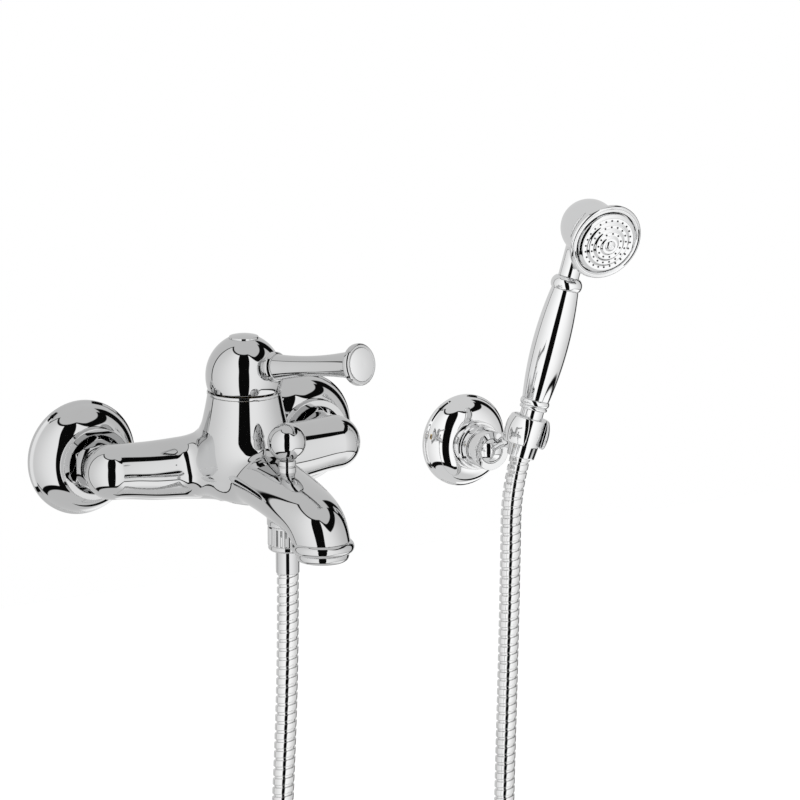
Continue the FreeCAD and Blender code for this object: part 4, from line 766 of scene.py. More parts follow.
class Finish(Enum):
    """Every finish of the part, by the piece of the maker's shop that it comes from."""

    CHROME = Metal("polished_chrome", Slot.CHROME, grey(0.66, -0.004), grey(0.63), 0.02, 0.045)
    # A lighter copy of the polished chrome: its higher base colour paints brighter reflections onto the bracket, the
    # hand shower and the lever's end cap.
    CHROME_PAINTED_BRIGHTER = Metal("chrome_painted_brighter", Slot.CHROME, grey(0.84, -0.004), grey(0.81), 0.02, 0.045)
    HOSE_STEEL = Metal("hose_strip_steel", Slot.STEEL, grey(0.8), grey(0.72), 0.05, 0.12, 1400.0, 0.02)
    STEEL = Metal("plain_steel", Slot.STEEL, grey(0.6), grey(0.5), 0.16, 0.3, 1200.0, 0.05)
    BRASS = Metal("turned_brass", Slot.BRASS, (0.78, 0.57, 0.28, 1), (0.62, 0.42, 0.2, 1), 0.2, 0.36, 1300.0, 0.05)
    CERAMIC = Moulded("white_ceramic", Slot.CERAMIC, grey(0.82, 0.01), grey(0.74, 0.02), 0.2, 2500.0, 0.03, 0.4)
    WHITE_PLASTIC = Moulded("white_plastic", Slot.PLASTIC, grey(0.78, 0.01), grey(0.7, 0.01), 0.38)
    GREY_PLASTIC = Moulded("grey_plastic", Slot.PLASTIC, grey(0.3), grey(0.22), 0.45)
    RUBBER = Moulded("black_rubber", Slot.RUBBER, grey(0.035), grey(0.02), 0.6, 1900.0, 0.3)

    def material(self) -> bpy.types.Material:
        """The finish's material, built at its first use."""
        return bpy.data.materials.get(self.value.name) or self.value.material()


# ---------------------------------------------------------------- sub-assemblies


BODY_OF: dict[str, str] = {
    node: body for body, nodes in FRAME["record"]["behaviour"]["bodies"].items() for node in nodes
}


class SubAssembly:
    """What all sub-assemblies share: their usual metal, and how a finished piece joins the part."""

    metal: ClassVar[Finish] = Finish.CHROME

    def finish(self, piece: bpy.types.Object, finish: Finish, *nodes: str, body: str = "") -> bpy.types.Object:
        """Dresses a piece and joins it to the part.

        Args:
            piece: The new object.
            finish: Its finish.
            nodes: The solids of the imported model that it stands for.
            body: The body that it moves with, where its solid doesn't tell. A bent piece keeps its own two.

        Returns:
            The same object.
        """
        piece.data.materials.clear()
        piece.data.materials.append(finish.material())
        body = body or BODY_OF[nodes[0]]
        if "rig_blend" not in piece:
            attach(piece, body)
        if nodes:
            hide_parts(*nodes)
        log.info("%s rides on %s", piece.name, body)
        return piece

    def turned(self, node: str, place: Matrix, stops: Sequence[Point | Bend], ease: float,
               rim: RimShape | None = None, segments: int | None = None,
               finish: Finish | None = None) -> bpy.types.Object:
        """Builds and finishes a turned piece that stands for one solid.

        Args:
            node: The solid's name.
            place: The piece's axis.
            stops: Its outline.
            ease: How far its corners are rounded.
            rim: The shape round the axis, for flutes and flats.
            segments: How many steps make the full turn.
            finish: Its finish, where it isn't the usual metal.

        Returns:
            The new object.
        """
        piece = Mesh.turned(f"{node}_finished", place, stops, ease, rim, segments)
        return self.finish(piece, finish or self.metal, node)

    @staticmethod
    def tube(inner: float, outer: float, low: float, high: float) -> list[Point]:
        """The outline of a plain ring or tube."""
        return [(inner, low), (outer, low), (outer, high), (inner, high)]


MIXER_RISE = 6.0


def mixer_place(x: float, y: float, z: float, along: Vector = UP, across: Vector = RIGHT) -> Matrix:
    """A place in the mixer's own heights, which count from the axis of its arms."""
    return axis_place((x, y, z + MIXER_RISE), along, across)


@dataclass
class WallConnection(SubAssembly):
    """One of the mixer's two supply connections: flange and union nut."""

    side: str
    sign: int
    spacing: float = 150.0
    flange_radius: float = 35.0
    flange_rim: float = 3.0
    flange_step: float = 1.6
    flange_depth: float = 23.0
    flange_wall: float = 1.8
    collar_radius: float = 22.0
    collar_depth: float = 4.0
    mouth_radius: float = 17.9
    web: float = 4.5
    web_thickness: float = 3.0
    thread: float = 13.27
    nut_flats: float = 30.0
    nut_start: float = 10.5
    nut_end: float = 26.4
    nut_chamfer: float = 1.3
    nut_lip: float = 5.5
    inlet_neck: float = 11.2

    def build(self) -> None:
        """Builds the flange and the nut."""
        axis = mixer_place(self.spacing / 2 * self.sign, 0, 0, FRONT)
        rim, depth, collar = self.flange_radius, self.flange_depth, self.collar_radius
        inner, floor = rim - self.flange_wall, self.web + self.web_thickness
        self.turned(f"wall_flange_{self.side}", axis, [
            (inner, 0), (rim, 0), (rim, self.flange_rim),
            (rim - self.flange_step, self.flange_rim + self.flange_step), Bend(rim * 0.86, depth * 0.52),
            (collar, depth - self.collar_depth), (collar, depth), (self.mouth_radius, depth),
            (self.mouth_radius, floor), (self.thread, floor), (self.thread, self.web), (rim * 0.78, self.web),
            (inner, self.flange_rim),
        ], 0.5)
        corner = self.nut_flats / math.sqrt(3)
        slope, edge = self.nut_chamfer * 0.6, corner - self.nut_chamfer
        start, end, seat = self.nut_start, self.nut_end, self.nut_end - self.nut_lip
        self.turned(f"union_nut_{self.side}", axis, [
            (self.thread, start), (edge, start), (corner, start + slope), (corner, end - slope), (edge, end),
            (self.inlet_neck, end), (self.inlet_neck, seat), (self.thread, seat),
        ], 0.25, self.six_flats, 240)

    def six_flats(self, angles: np.ndarray, radius: float, height: float) -> np.ndarray:
        """The nut's radius round its axis: no wider than its six flats."""
        sixth = FULL_TURN / 6
        from_flat = (angles + sixth / 2) % sixth - sixth / 2
        return np.minimum(radius, self.nut_flats / 2 / np.cos(from_flat))


@dataclass(frozen=True)
class SpoutSection:
    """One section of the spout: its place, its tilt and its half width and half height."""

    reach: float
    level: float
    tilt: float
    width: float
    height: float


@dataclass
class BodyCasting(SubAssembly):
    """The mixer's body: arms, neck and spout as one casting, and the bead at the mouth.

    The arms are given by half their depth and height at places out from the middle, the neck by its outline, and
    the spout by its sections. The field's own settings stand last.
    """

    arm_reach: float = 44.0
    arm_end: float = 75.0
    arm_places: tuple[float, ...] = (0, 28, 50, 71, 75)
    arm_levels: tuple[float, ...] = (-4.5, -3.2, -2.3, -0.3, 0)
    arm_depths: tuple[float, ...] = (18.5, 17.2, 16.4, 16.4, 16.7)
    arm_heights: tuple[float, ...] = (20.5, 18.9, 17.7, 16.7, 16.7)
    neck_reach: float = 70.5
    neck_top: float = 44.6
    neck_outline: tuple[Point | Bend, ...] = (
        (12, -19), Bend(21.6, -14.5), (24, -4), Bend(26.72, 12), (26.4, 24), Bend(23.5, 36.36), (22, 44.6))
    sections: tuple[SpoutSection, ...] = (
        SpoutSection(54, 0.2, 0, 24, 18),
        SpoutSection(91, -2.5, 4, 21.5, 16.4),
        SpoutSection(121, -6, 11, 20.5, 15.4),
        SpoutSection(144, -10.5, 30, 19.6, 15.4),
        SpoutSection(159, -17, 60, 18, 16),
        SpoutSection(166, -27.5, 90, 16.8, 16.8),
    )
    mouth_reach: float = 166.0
    mouth_level: float = -23.6
    bead_radius: float = 18.6
    bead_height: float = 6.8
    mouth_width: float = 17.0
    mouth_bore: float = 12.4
    mouth_bore_top: float = -20.5
    cup_radius: float = 23.25
    cup_centre: float = 54.8
    cavity_radius: float = 17.45
    cavity_floor: float = 6.6
    inlet_neck: float = 11.0
    inlet_neck_end: float = 17.4
    inlet_collar: float = 12.9
    inlet_collar_start: float = 17.44
    inlet_collar_end: float = 20.04
    diverter_reach: float = 123.5
    outlet_seat: float = 12.08
    outlet_seat_top: float = -8.0
    outlet_seat_end: float = -23.8
    outlet_thread: float = 10.53
    outlet_thread_top: float = -17.5
    arm_fillet: float = 15.0
    spout_fillet: float = 9.0
    inlet_fillet: float = 3.0
    seat_fillet: float = 1.5
    bore_edge: float = 0.3
    cavity_edge: float = 0.4
    low: Place = (-94, -186, -31)
    high: Place = (94, -15, 47)
    grid: float = 0.85
    arm_step: float = 0.25
    spout_step: float = 0.1
    coarse: int = 20
    batch: int = 20000
    rounds: int = 7
    longest_move: float = 6.0
    least_speed: float = 0.3
    neck_slope: float = 0.96

    def build(self) -> None:
        """Builds the casting and the bead round its mouth."""
        self._lay_out()
        casting = Casting("body_casting", self.form, self.low, self.high, self.grid)
        self.finish(casting.mesh(mixer_place(0, 0, 0)), self.metal, "mixer_body")
        axis = mixer_place(0, -self.mouth_reach, 0)
        low = self.mouth_level - self.bead_height
        bead = Mesh.turned("mouth_bead", axis, [
            (self.mouth_bore, self.mouth_level), (self.mouth_width - 0.6, self.mouth_level),
            Bend(self.bead_radius, self.mouth_level - self.bead_height * 0.46), (self.mouth_width - 0.6, low),
            (self.mouth_bore, low),
        ], 0.35)
        self.finish(bead, self.metal, body=BODY_OF["mixer_body"])

    def _lay_out(self) -> None:
        """Prepares the tables of the neck's radius and of the spout's line."""
        traced = Outline(self.neck_outline, False, 0).points
        order = np.argsort(traced[:, 1])
        self.neck_heights, self.neck_radii = traced[order, 1], traced[order, 0]
        centres = np.array([(section.reach, section.level) for section in self.sections])
        knots = np.r_[0, np.cumsum(np.linalg.norm(np.diff(centres, axis=0), axis=1))]
        self.spout_run = np.arange(0, knots[-1], self.spout_step)
        columns = [centres[:, 0], centres[:, 1]]
        columns += [[getattr(section, name) for section in self.sections] for name in ("width", "height", "tilt")]
        table = np.column_stack([smooth_through(knots, column, self.spout_run) for column in columns])
        self.spout_line, self.spout_size = table[:, :2], table[:, 2:4]
        tilt = np.radians(table[:, 4])
        self.spout_facing = np.column_stack((np.cos(tilt), -np.sin(tilt)))
        self.spout_rate = np.gradient(self.spout_line, self.spout_step, axis=0)
        self.spout_bend = np.gradient(self.spout_facing, self.spout_step, axis=0)
        self.arm_run = np.arange(-self.arm_end, self.arm_end + self.arm_step / 2, self.arm_step)
        mirrored = [-place for place in self.arm_places[:0:-1]] + list(self.arm_places)
        self.arm_tables = [smooth_through(mirrored, list(sizes[:0:-1]) + list(sizes), self.arm_run)
                           for sizes in (self.arm_levels, self.arm_depths, self.arm_heights)]

    def form(self, x: np.ndarray, y: np.ndarray, z: np.ndarray) -> np.ndarray:
        """The whole casting as a field."""
        from_neck, from_outlet, from_mouth = (
            np.hypot(x, y + reach) for reach in (self.neck_reach, self.diverter_reach, self.mouth_reach))
        whole = Blend.union(self.arms(x, y, z), self.neck(from_neck, z), self.arm_fillet)
        whole = Blend.union(whole, self.spout(x, y, z), self.spout_fillet)
        seat = np.maximum(from_outlet - self.outlet_seat,
                          np.maximum(self.outlet_seat_end - z, z - self.outlet_seat_top))
        whole = Blend.union(whole, seat, self.seat_fillet)
        cup = np.sqrt(x ** 2 + (y + self.neck_reach) ** 2 + (z - self.cup_centre) ** 2) - self.cup_radius
        well = np.maximum(from_neck - self.cavity_radius, self.cavity_floor - z)
        whole = Blend.cut(whole, np.minimum(cup, well), self.cavity_edge)
        bore = np.maximum(from_mouth - self.mouth_bore, z - self.mouth_bore_top)
        outlet = np.maximum(from_outlet - self.outlet_thread, z - self.outlet_thread_top)
        return Blend.cut(whole, np.minimum(bore, outlet), self.bore_edge)

    def arms(self, x: np.ndarray, y: np.ndarray, z: np.ndarray) -> np.ndarray:
        """Both arms, with a ball at each end and the collar that each nut draws in."""
        side = np.abs(x)
        place = np.minimum(side, self.arm_end)
        level, depth, height = (np.interp(place, self.arm_run, table) for table in self.arm_tables)
        outward = (side - place) / self.arm_depths[-1]
        share = np.sqrt(((y + self.arm_reach) / depth) ** 2 + ((z - level) / height) ** 2 + outward ** 2)
        arm = (share - 1) * np.minimum(depth, height)
        off_axis = np.sqrt((side - self.arm_end) ** 2 + z ** 2)
        neck = np.maximum(off_axis - self.inlet_neck, np.maximum(y + self.inlet_neck_end, -y - self.arm_reach))
        collar = np.maximum(off_axis - self.inlet_collar,
                            np.maximum(y + self.inlet_collar_start, -y - self.inlet_collar_end))
        return Blend.union(Blend.union(arm, neck, self.inlet_fillet), collar, self.bore_edge)

    def neck(self, off_axis: np.ndarray, z: np.ndarray) -> np.ndarray:
        """The upright part that carries the lever."""
        around = (off_axis - np.interp(z, self.neck_heights, self.neck_radii)) * self.neck_slope
        return np.maximum(around, np.maximum(z - self.neck_top, self.neck_heights[0] - z))

    def spout(self, x: np.ndarray, y: np.ndarray, z: np.ndarray) -> np.ndarray:
        """The spout, from inside the neck to the mouth."""
        reach, level = np.broadcast_arrays(-y, z)
        flat = np.column_stack((reach.ravel(), level.ravel()))
        coarse, coarse_run = self.spout_line[::self.coarse], self.spout_run[::self.coarse]
        place = np.empty(len(flat))
        for start in range(0, len(flat), self.batch):
            part = flat[start:start + self.batch]
            apart = (part[:, None, 0] - coarse[None, :, 0]) ** 2 + (part[:, None, 1] - coarse[None, :, 1]) ** 2
            place[start:start + self.batch] = coarse_run[apart.argmin(1)]
        for _ in range(self.rounds):
            at, facing, rate, bend = (
                np.column_stack([np.interp(place, self.spout_run, table[:, k]) for k in (0, 1)])
                for table in (self.spout_line, self.spout_facing, self.spout_rate, self.spout_bend))
            away = flat - at
            beyond = (away * facing).sum(1)
            speed = np.maximum((rate * facing).sum(1) - (away * bend).sum(1), self.least_speed)
            move = np.clip(beyond / speed, -self.longest_move, self.longest_move)
            place = np.clip(place + move, 0, self.spout_run[-1])
        across = away[:, 0] * facing[:, 1] - away[:, 1] * facing[:, 0]
        width, height = (np.interp(place, self.spout_run, self.spout_size[:, k]) for k in (0, 1))
        across, width, height = (part.reshape(reach.shape) for part in (across, width, height))
        share = np.sqrt((x / width) ** 2 + (across / height) ** 2)
        ends = np.maximum(self.sections[0].reach - reach, self.sections[-1].level - level)
        return np.maximum((share - 1) * np.minimum(width, height), ends)


@dataclass
class LeverHead(SubAssembly):
    """The domed head, its trim ring and plug, and the lever."""

    neck_reach: float = 70.5
    neck_top: float = 44.6
    lift_pivot: float = 54.8
    dome_radius: float = 23.0
    dome_rim: float = 47.4
    dome_wall: float = 2.4
    shoulder: float = 17.2
    shoulder_height: float = 71.9
    top_radius: float = 9.4
    top: float = 78.3
    ring_radius: float = 22.3
    ring_middle: float = 45.5
    ring_top: float = 46.4
    cup_radius: float = 23.25
    plug_radius: float = 8.75
    plug_edge: float = 2.4
    plug_crown: float = 1.3
    plug_seat: float = 77.0
    turn: float = 17.0
    rise: float = 10.0
    lever_height: float = 59.8
    stud: float = 3.55
    stud_foot: float = 16.2
    boss: float = 6.4
    boss_foot: float = 15.0
    collar: float = 9.2
    collar_start: float = 24.6
    collar_end: float = 29.4
    root: float = 7.6
    waist: float = 6.0
    waist_at: float = 58.0
    flare: float = 8.2
    flare_at: float = 91.0
    disc: float = 12.3
    disc_edge: float = 3.4
    cap: float = 9.8
    cap_depth: float = 1.6
    cap_crown: float = 1.4
    cap_peg: float = 3.0
    end: float = 98.0

    def build(self) -> None:
        """Builds the head from its trim ring up, then the lever."""
        self._head()
        self._lever()

    def _head(self) -> None:
        """Builds the trim ring, the dome and its plug."""
        axis = mixer_place(0, -self.neck_reach, 0)
        pivot, cup, top = self.lift_pivot, self.cup_radius, self.ring_top
        low = self.neck_top + SEAT_GAP
        self.turned("trim_ring", axis, [
            (chord(cup, pivot - self.neck_top), low), (self.ring_radius, low), (self.ring_radius, top),
            (chord(cup, pivot - top), top), Bend(chord(cup, pivot - self.ring_middle), self.ring_middle),
        ], 0.4)
        outer, wall, top = self.dome_radius, self.dome_wall, self.top
        inner, fall = outer - wall, pivot - self.dome_rim
        plug, seat = self.plug_radius + FIT_GAP, self.plug_seat
        self.turned("lever_dome", axis, [
            (chord(inner, fall), self.dome_rim), (chord(outer, fall), self.dome_rim),
            Bend(chord(outer, fall / 2), pivot - fall / 2), (outer, pivot), Bend(self.shoulder, self.shoulder_height),
            (self.top_radius, top), (plug, top), (plug, seat), (4.0, seat), (4.0, top - wall * 1.9),
            Bend(self.shoulder - wall * 0.62, self.shoulder_height - wall * 0.85), (inner, pivot),
            Bend(chord(inner, fall / 2), pivot - fall / 2),
        ], 0.3, segments=216)
        seat += SEAT_GAP
        edge = seat + self.plug_edge
        self.turned("dome_plug", axis, [
            (0, seat), (self.plug_radius, seat), (self.plug_radius, edge),
            Bend(self.plug_radius * 0.5, edge + self.plug_crown * 0.75), (0, edge + self.plug_crown),
        ], 0.35)

    def lever_axis(self) -> Matrix:
        """The lever's own axis."""
        bearing = math.radians(self.turn)
        across = Vector((math.cos(bearing), math.sin(bearing), 0))
        head = mixer_place(0, -self.neck_reach, 0, UP, across)
        lift = math.radians(self.rise)
        out = Vector((0, -math.cos(lift), math.sin(lift)))
        return head @ axis_place((0, 0, self.lever_height), out)

    def _lever(self) -> None:
        """Builds the boss, the collar, the handle and its end cap."""
        axis = self.lever_axis()
        start, end, far = self.collar_start, self.collar_end, self.end
        boss = Mesh.turned("lever_boss", axis, self.tube(self.stud, self.boss, self.boss_foot, start - 1.7), 0.3)
        self.finish(boss, self.metal, body="lever")
        self.turned("lever_collar", axis, [
            (self.stud, start - 1.6), (self.root * 0.8, start - 1.6), (self.root * 0.8, start),
            (self.collar - 0.9, start), (self.collar, start + 0.9), (self.collar, end - 1.6), (self.root + 0.2, end),
            (self.stud, end),
        ], 0.5)
        root_at, disc_at, sink = end + SEAT_GAP, far - self.disc_edge, far - self.cap_depth
        stud, socket, peg = self.stud - FIT_GAP, self.cap + FIT_GAP, self.cap_peg + FIT_GAP
        self.turned("lever_handle", axis, [
            (0, self.stud_foot), (stud, self.stud_foot), (stud, root_at), (self.root, root_at),
            Bend(self.waist, self.waist_at), (self.flare, self.flare_at), Bend(self.flare + 1.1, self.flare_at + 1.6),
            (self.disc - 1, disc_at - 1.2), (self.disc, disc_at), (self.disc, far - 1), (self.disc - 1, far),
            (socket, far), (socket, sink), (peg, sink), (peg, far - 7), (0, far - 7),
        ], 0.6)
        base = sink + SEAT_GAP
        # The end cap takes the lighter chrome copy, whose higher base colour paints a brighter reflection on it.
        self.turned("lever_end_cap", axis, [
            (0, far - 6.5), (self.cap_peg, far - 6.5), (self.cap_peg, base), (self.cap, base), (self.cap, far + 0.2),
            Bend(self.cap * 0.55, far + self.cap_crown * 0.8), (0, far + self.cap_crown),
        ], 0.3, finish=Finish.CHROME_PAINTED_BRIGHTER)


@dataclass
class Diverter(SubAssembly):
    """The diverter's knob and the gland that it slides in."""

    reach: float = 123.5
    knob_radius: float = 11.3
    knob_height: float = 26.0
    gland_radius: float = 5.4
    gland_seat: float = 8.02
    gland_top: float = 15.0
    gland_thread: float = 4.9
    gland_foot: float = 3.2
    stem: float = 2.5
    stem_foot: float = -9.56

    def build(self) -> None:
        """Builds the knob and the gland."""
        axis = mixer_place(0, -self.reach, 0)
        skirt, top = self.gland_radius - 1, self.gland_top
        neck = self.knob_height - chord(self.knob_radius, skirt)
        self.turned("diverter_knob", axis, [
            (0, self.stem_foot), (self.stem, self.stem_foot), (self.stem, top + 0.3), (skirt, top + 0.3),
            (skirt, neck), Bend(self.knob_radius, self.knob_height), (0, self.knob_height + self.knob_radius),
        ], 0.15, segments=120)
        hole, gland, seat = self.stem + FIT_GAP, self.gland_radius, self.gland_seat
        self.turned("diverter_gland", axis, [
            (hole, self.gland_foot), (self.gland_thread, self.gland_foot), (self.gland_thread, seat), (gland, seat),
            (gland, seat + 3), (gland - 0.5, seat + 3.4), (gland - 0.5, seat + 3.8), (gland, seat + 4.2),
            (gland, top), (hole, top),
        ], 0.3)


@dataclass
class Aerator(SubAssembly):
    """The flow straightener's housing, screwed into the mouth."""

    reach: float = 166.0
    top: float = -30.42
    bead: float = 15.6
    bead_height: float = 4.6
    core: float = 9.6
    lip: float = 8.2
    bore: float = 12.35

    def build(self) -> None:
        """Builds the housing."""
        low = self.top - self.bead_height
        self.turned("aerator_housing", mixer_place(0, -self.reach, 0), [
            (self.lip, low), (self.bead - 1.2, low), Bend(self.bead, self.top - self.bead_height * 0.5),
            (self.bead - 0.4, self.top), (self.bore, self.top), (self.bore, self.top + 8), (self.core, self.top + 8),
            (self.core, low + 1.6), (self.lip, low + 1.6),
        ], 0.35)


@dataclass
class ShowerOutlet(SubAssembly):
    """The hose's lower end: fluted nut and ferrule."""

    reach: float = 123.5
    thread: float = 10.53
    nut_radius: float = 11.7
    nut_top: float = -23.9
    nut_bottom: float = -39.0
    flutes: int = 24
    flute: float = 0.7
    ferrule: float = 7.0
    ferrule_flange: float = 9.8
    ferrule_end: float = -53.0
    flange_top: float = -36.06
    bore: float = 4.2

    def build(self) -> None:
        """Builds the nut and the ferrule."""
        axis = mixer_place(0, -self.reach, 0)
        rest, sleeve = self.flange_top - 1.5, self.ferrule + 0.15
        nut, foot, top = self.nut_radius, self.nut_bottom, self.nut_top
        self.turned("hose_nut", axis, [
            (sleeve, foot), (nut - 1.4, foot), (nut - 0.3, foot + 1.1), (nut - 0.3, foot + 3.2), (nut, foot + 3.6),
            (nut, foot + 4.2), (nut, top - 1.2), (nut - 0.6, top), (self.thread, top), (self.thread, rest - SEAT_GAP),
            (sleeve, rest - SEAT_GAP),
        ], 0.2, self.fluted, 12 * self.flutes)
        self.turned("lower_ferrule", axis, [
            (self.bore, self.ferrule_end), (self.ferrule, self.ferrule_end), (self.ferrule, rest),
            (self.ferrule_flange, rest), (self.ferrule_flange, self.flange_top), (self.bore, self.flange_top),
        ], 0.5)

    def fluted(self, angles: np.ndarray, radius: float, height: float) -> np.ndarray:
        """The nut's radius: a groove at each flute, above its plain foot."""
        if radius < self.nut_radius - 0.05 or height < self.nut_bottom + 3.8:
            return np.full(len(angles), radius)
        wave = 0.5 + 0.5 * np.cos(angles * self.flutes)
        return radius - self.flute * wave ** 3


@dataclass(frozen=True)
class HoseLength:
    """One length of the hose: it bends with one joint between start and end, and some hose is left above it."""

    name: str
    lower: str
    upper: str
    start: Place
    end: Place
    above: float


@dataclass
class Hose(SubAssembly):
    """The shower hose: a strip wound into interlocked turns, hung as one long loop.

    The strip's profile is given as shares of the pitch along the hose and of the groove's depth.
    """

    route: tuple[Place, ...] = (
        (0.0, -0.1235, -0.047), (0.0, -0.1235, -0.083), (-0.0022, -0.1242, -0.140), (-0.0068, -0.126, -0.206),
        (-0.011, -0.127, -0.290), (-0.0118, -0.1275, -0.385), (-0.004, -0.1255, -0.475), (0.020, -0.118, -0.524),
        (0.062, -0.105, -0.549), (0.110, -0.090, -0.5515), (0.152, -0.076, -0.535), (0.180, -0.066, -0.495),
        (0.1886, -0.0605, -0.420), (0.1896, -0.058, -0.330), (0.1905, -0.0585, -0.240), (0.1918, -0.060, -0.152),
        (0.1922, -0.0616, -0.076), (0.192287, -0.061952, -0.035624), (0.198213, -0.062822, -0.014455),
    )
    lengths: tuple[HoseLength, ...] = (
        HoseLength("metal_hose", "mixer", "bracket_swivel", (0.190, -0.060, -0.500),
                   (0.2728, -0.060, -0.4669), 236.0),
        HoseLength("metal_hose_upper", "bracket_swivel", "bracket_arm", (0.191, -0.060, -0.243),
                   (0.191, -0.060, -0.125), 102.0),
        HoseLength("metal_hose_bend", "bracket_arm", "holder", (0.192, -0.061, -0.110),
                   (0.192, -0.061, -0.064), 43.0),
        HoseLength("metal_hose_end", "holder", "hose_end", (0.192, -0.062, -0.051), (0.198, -0.062, -0.017), 0.0),
    )
    cords: int = 2
    length: float = 1.158
    radius: float = 6.5
    groove: float = 5.5
    pitch: float = 5.6
    turn_steps: int = 36
    line_step: float = 1.5
    edge: float = 50.0
    strip: tuple[Point, ...] = (
        (0.0, 0.0), (0.24, 0.0), (0.255, 0.75), (0.29, 0.95), (0.36, 1.0), (0.62, 1.0), (0.88, 0.97), (0.94, 0.9),
        (0.97, 0.7), (0.98, 0.0))

    def line(self) -> np.ndarray:
        """The hose's centreline, read from the smooth curve of its route, in metres."""
        curve = bpy.data.curves.new("hose_line", "CURVE")
        curve.dimensions = "3D"
        spline = curve.splines.new("NURBS")
        spline.points.add(len(self.route) - 1)
        for point, place in zip(spline.points, self.route):
            point.co = (*place, 1)
        spline.order_u = 3
        spline.use_endpoint_u = True
        spline.resolution_u = 24
        holder = bpy.data.objects.new("hose_line", curve)
        traced = bpy.data.meshes.new_from_object(holder)
        points = np.array([vertex.co[:] for vertex in traced.vertices])
        bpy.data.meshes.remove(traced)
        bpy.data.objects.remove(holder)
        bpy.data.curves.remove(curve)
        return points

    def build(self) -> None:
        line = self.line() / MM
        run = np.r_[0, np.cumsum(np.linalg.norm(np.diff(line, axis=0), axis=1))]
        total = float(run[-1])
        even = np.linspace(0, total, int(total / self.line_step))
        centre = np.column_stack([np.interp(even, run, line[:, k]) for k in range(3)])
        cloud, faces = self._wound(even, centre)
        ends = [int(((total - length.above) / self.pitch + 1) * self.turn_steps) for length in self.lengths[:-1]]
        made = []
        for length, first, last in zip(self.lengths, [0, *ends], [*ends, len(faces)]):
            used, corners = np.unique(faces[first:last], return_inverse=True)
            piece = Mesh.solid(length.name, cloud[used], corners.reshape(-1, 4).tolist())
            self._close(piece)
            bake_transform(piece, length.lower, length.upper, start=length.start, end=length.end)
            nodes = () if made else ("shower_hose",)
            made.append(self.finish(piece, Finish.HOSE_STEEL, *nodes, body=length.lower))
        log.info("hose line is %.3f m long", total * MM)

    def _wound(self, even: np.ndarray, centre: np.ndarray) -> tuple[np.ndarray, np.ndarray]:
        """The strip wound along the whole line.

        Args:
            even: How far along the hose each point of its line is.
            centre: The line's points.

        Returns:
            The strip's vertices, and its faces in a row for each step of the winding.
        """
        way = np.gradient(centre, axis=0)
        way /= np.linalg.norm(way, axis=1, keepdims=True)
        side = np.empty_like(way)
        side[0] = np.cross(way[0], RIGHT)
        for k in range(1, len(way)):
            side[k] = side[k - 1] - way[k] * (side[k - 1] @ way[k])
        side /= np.linalg.norm(side, axis=1, keepdims=True)
        frames = (centre, side, np.cross(way, side))
        steps, wide = self.turn_steps, len(self.strip)
        winds = int((even[-1] / self.pitch + 2) * steps)
        turn = (np.arange(winds) - steps) / steps
        around = [ring(turn * FULL_TURN)[:, None] for ring in (np.cos, np.sin)]
        points = []
        for share, depth in self.strip:
            along = np.clip((turn + share) * self.pitch, 0, even[-1])
            middle, first, second = (np.column_stack([np.interp(along, even, part[:, k]) for k in range(3)])
                                     for part in frames)
            radius = self.groove + (self.radius - self.groove) * depth
            points.append(middle + radius * (around[0] * first + around[1] * second))
        step = np.arange(winds - steps - 1)[:, None]
        column = np.arange(wide)[None, :]
        last = column == wide - 1
        corner = step * wide + column
        faces = np.stack((corner, np.where(last, (step + steps) * wide, corner + 1),
                          np.where(last, (step + 1 + steps) * wide, corner + wide + 1), corner + wide), -1)
        return np.stack(points, axis=1).reshape(-1, 3), faces

    def _close(self, hose: bpy.types.Object) -> None:
        """Cleans the strip's two cut ends and closes them."""
        form = bmesh.new()
        form.from_mesh(hose.data)
        bmesh.ops.dissolve_degenerate(form, dist=1e-6, edges=form.edges)
        loose = [vertex for vertex in form.verts if not vertex.link_faces]
        bmesh.ops.delete(form, geom=loose, context="VERTS")
        open_edges = [edge for edge in form.edges if len(edge.link_faces) == 1]
        bmesh.ops.holes_fill(form, edges=open_edges)
        bmesh.ops.recalc_face_normals(form, faces=form.faces)
        form.to_mesh(hose.data)
        form.free()
        hose.data.shade_smooth()
        hose.data.set_sharp_from_angle(angle=math.radians(self.edge))


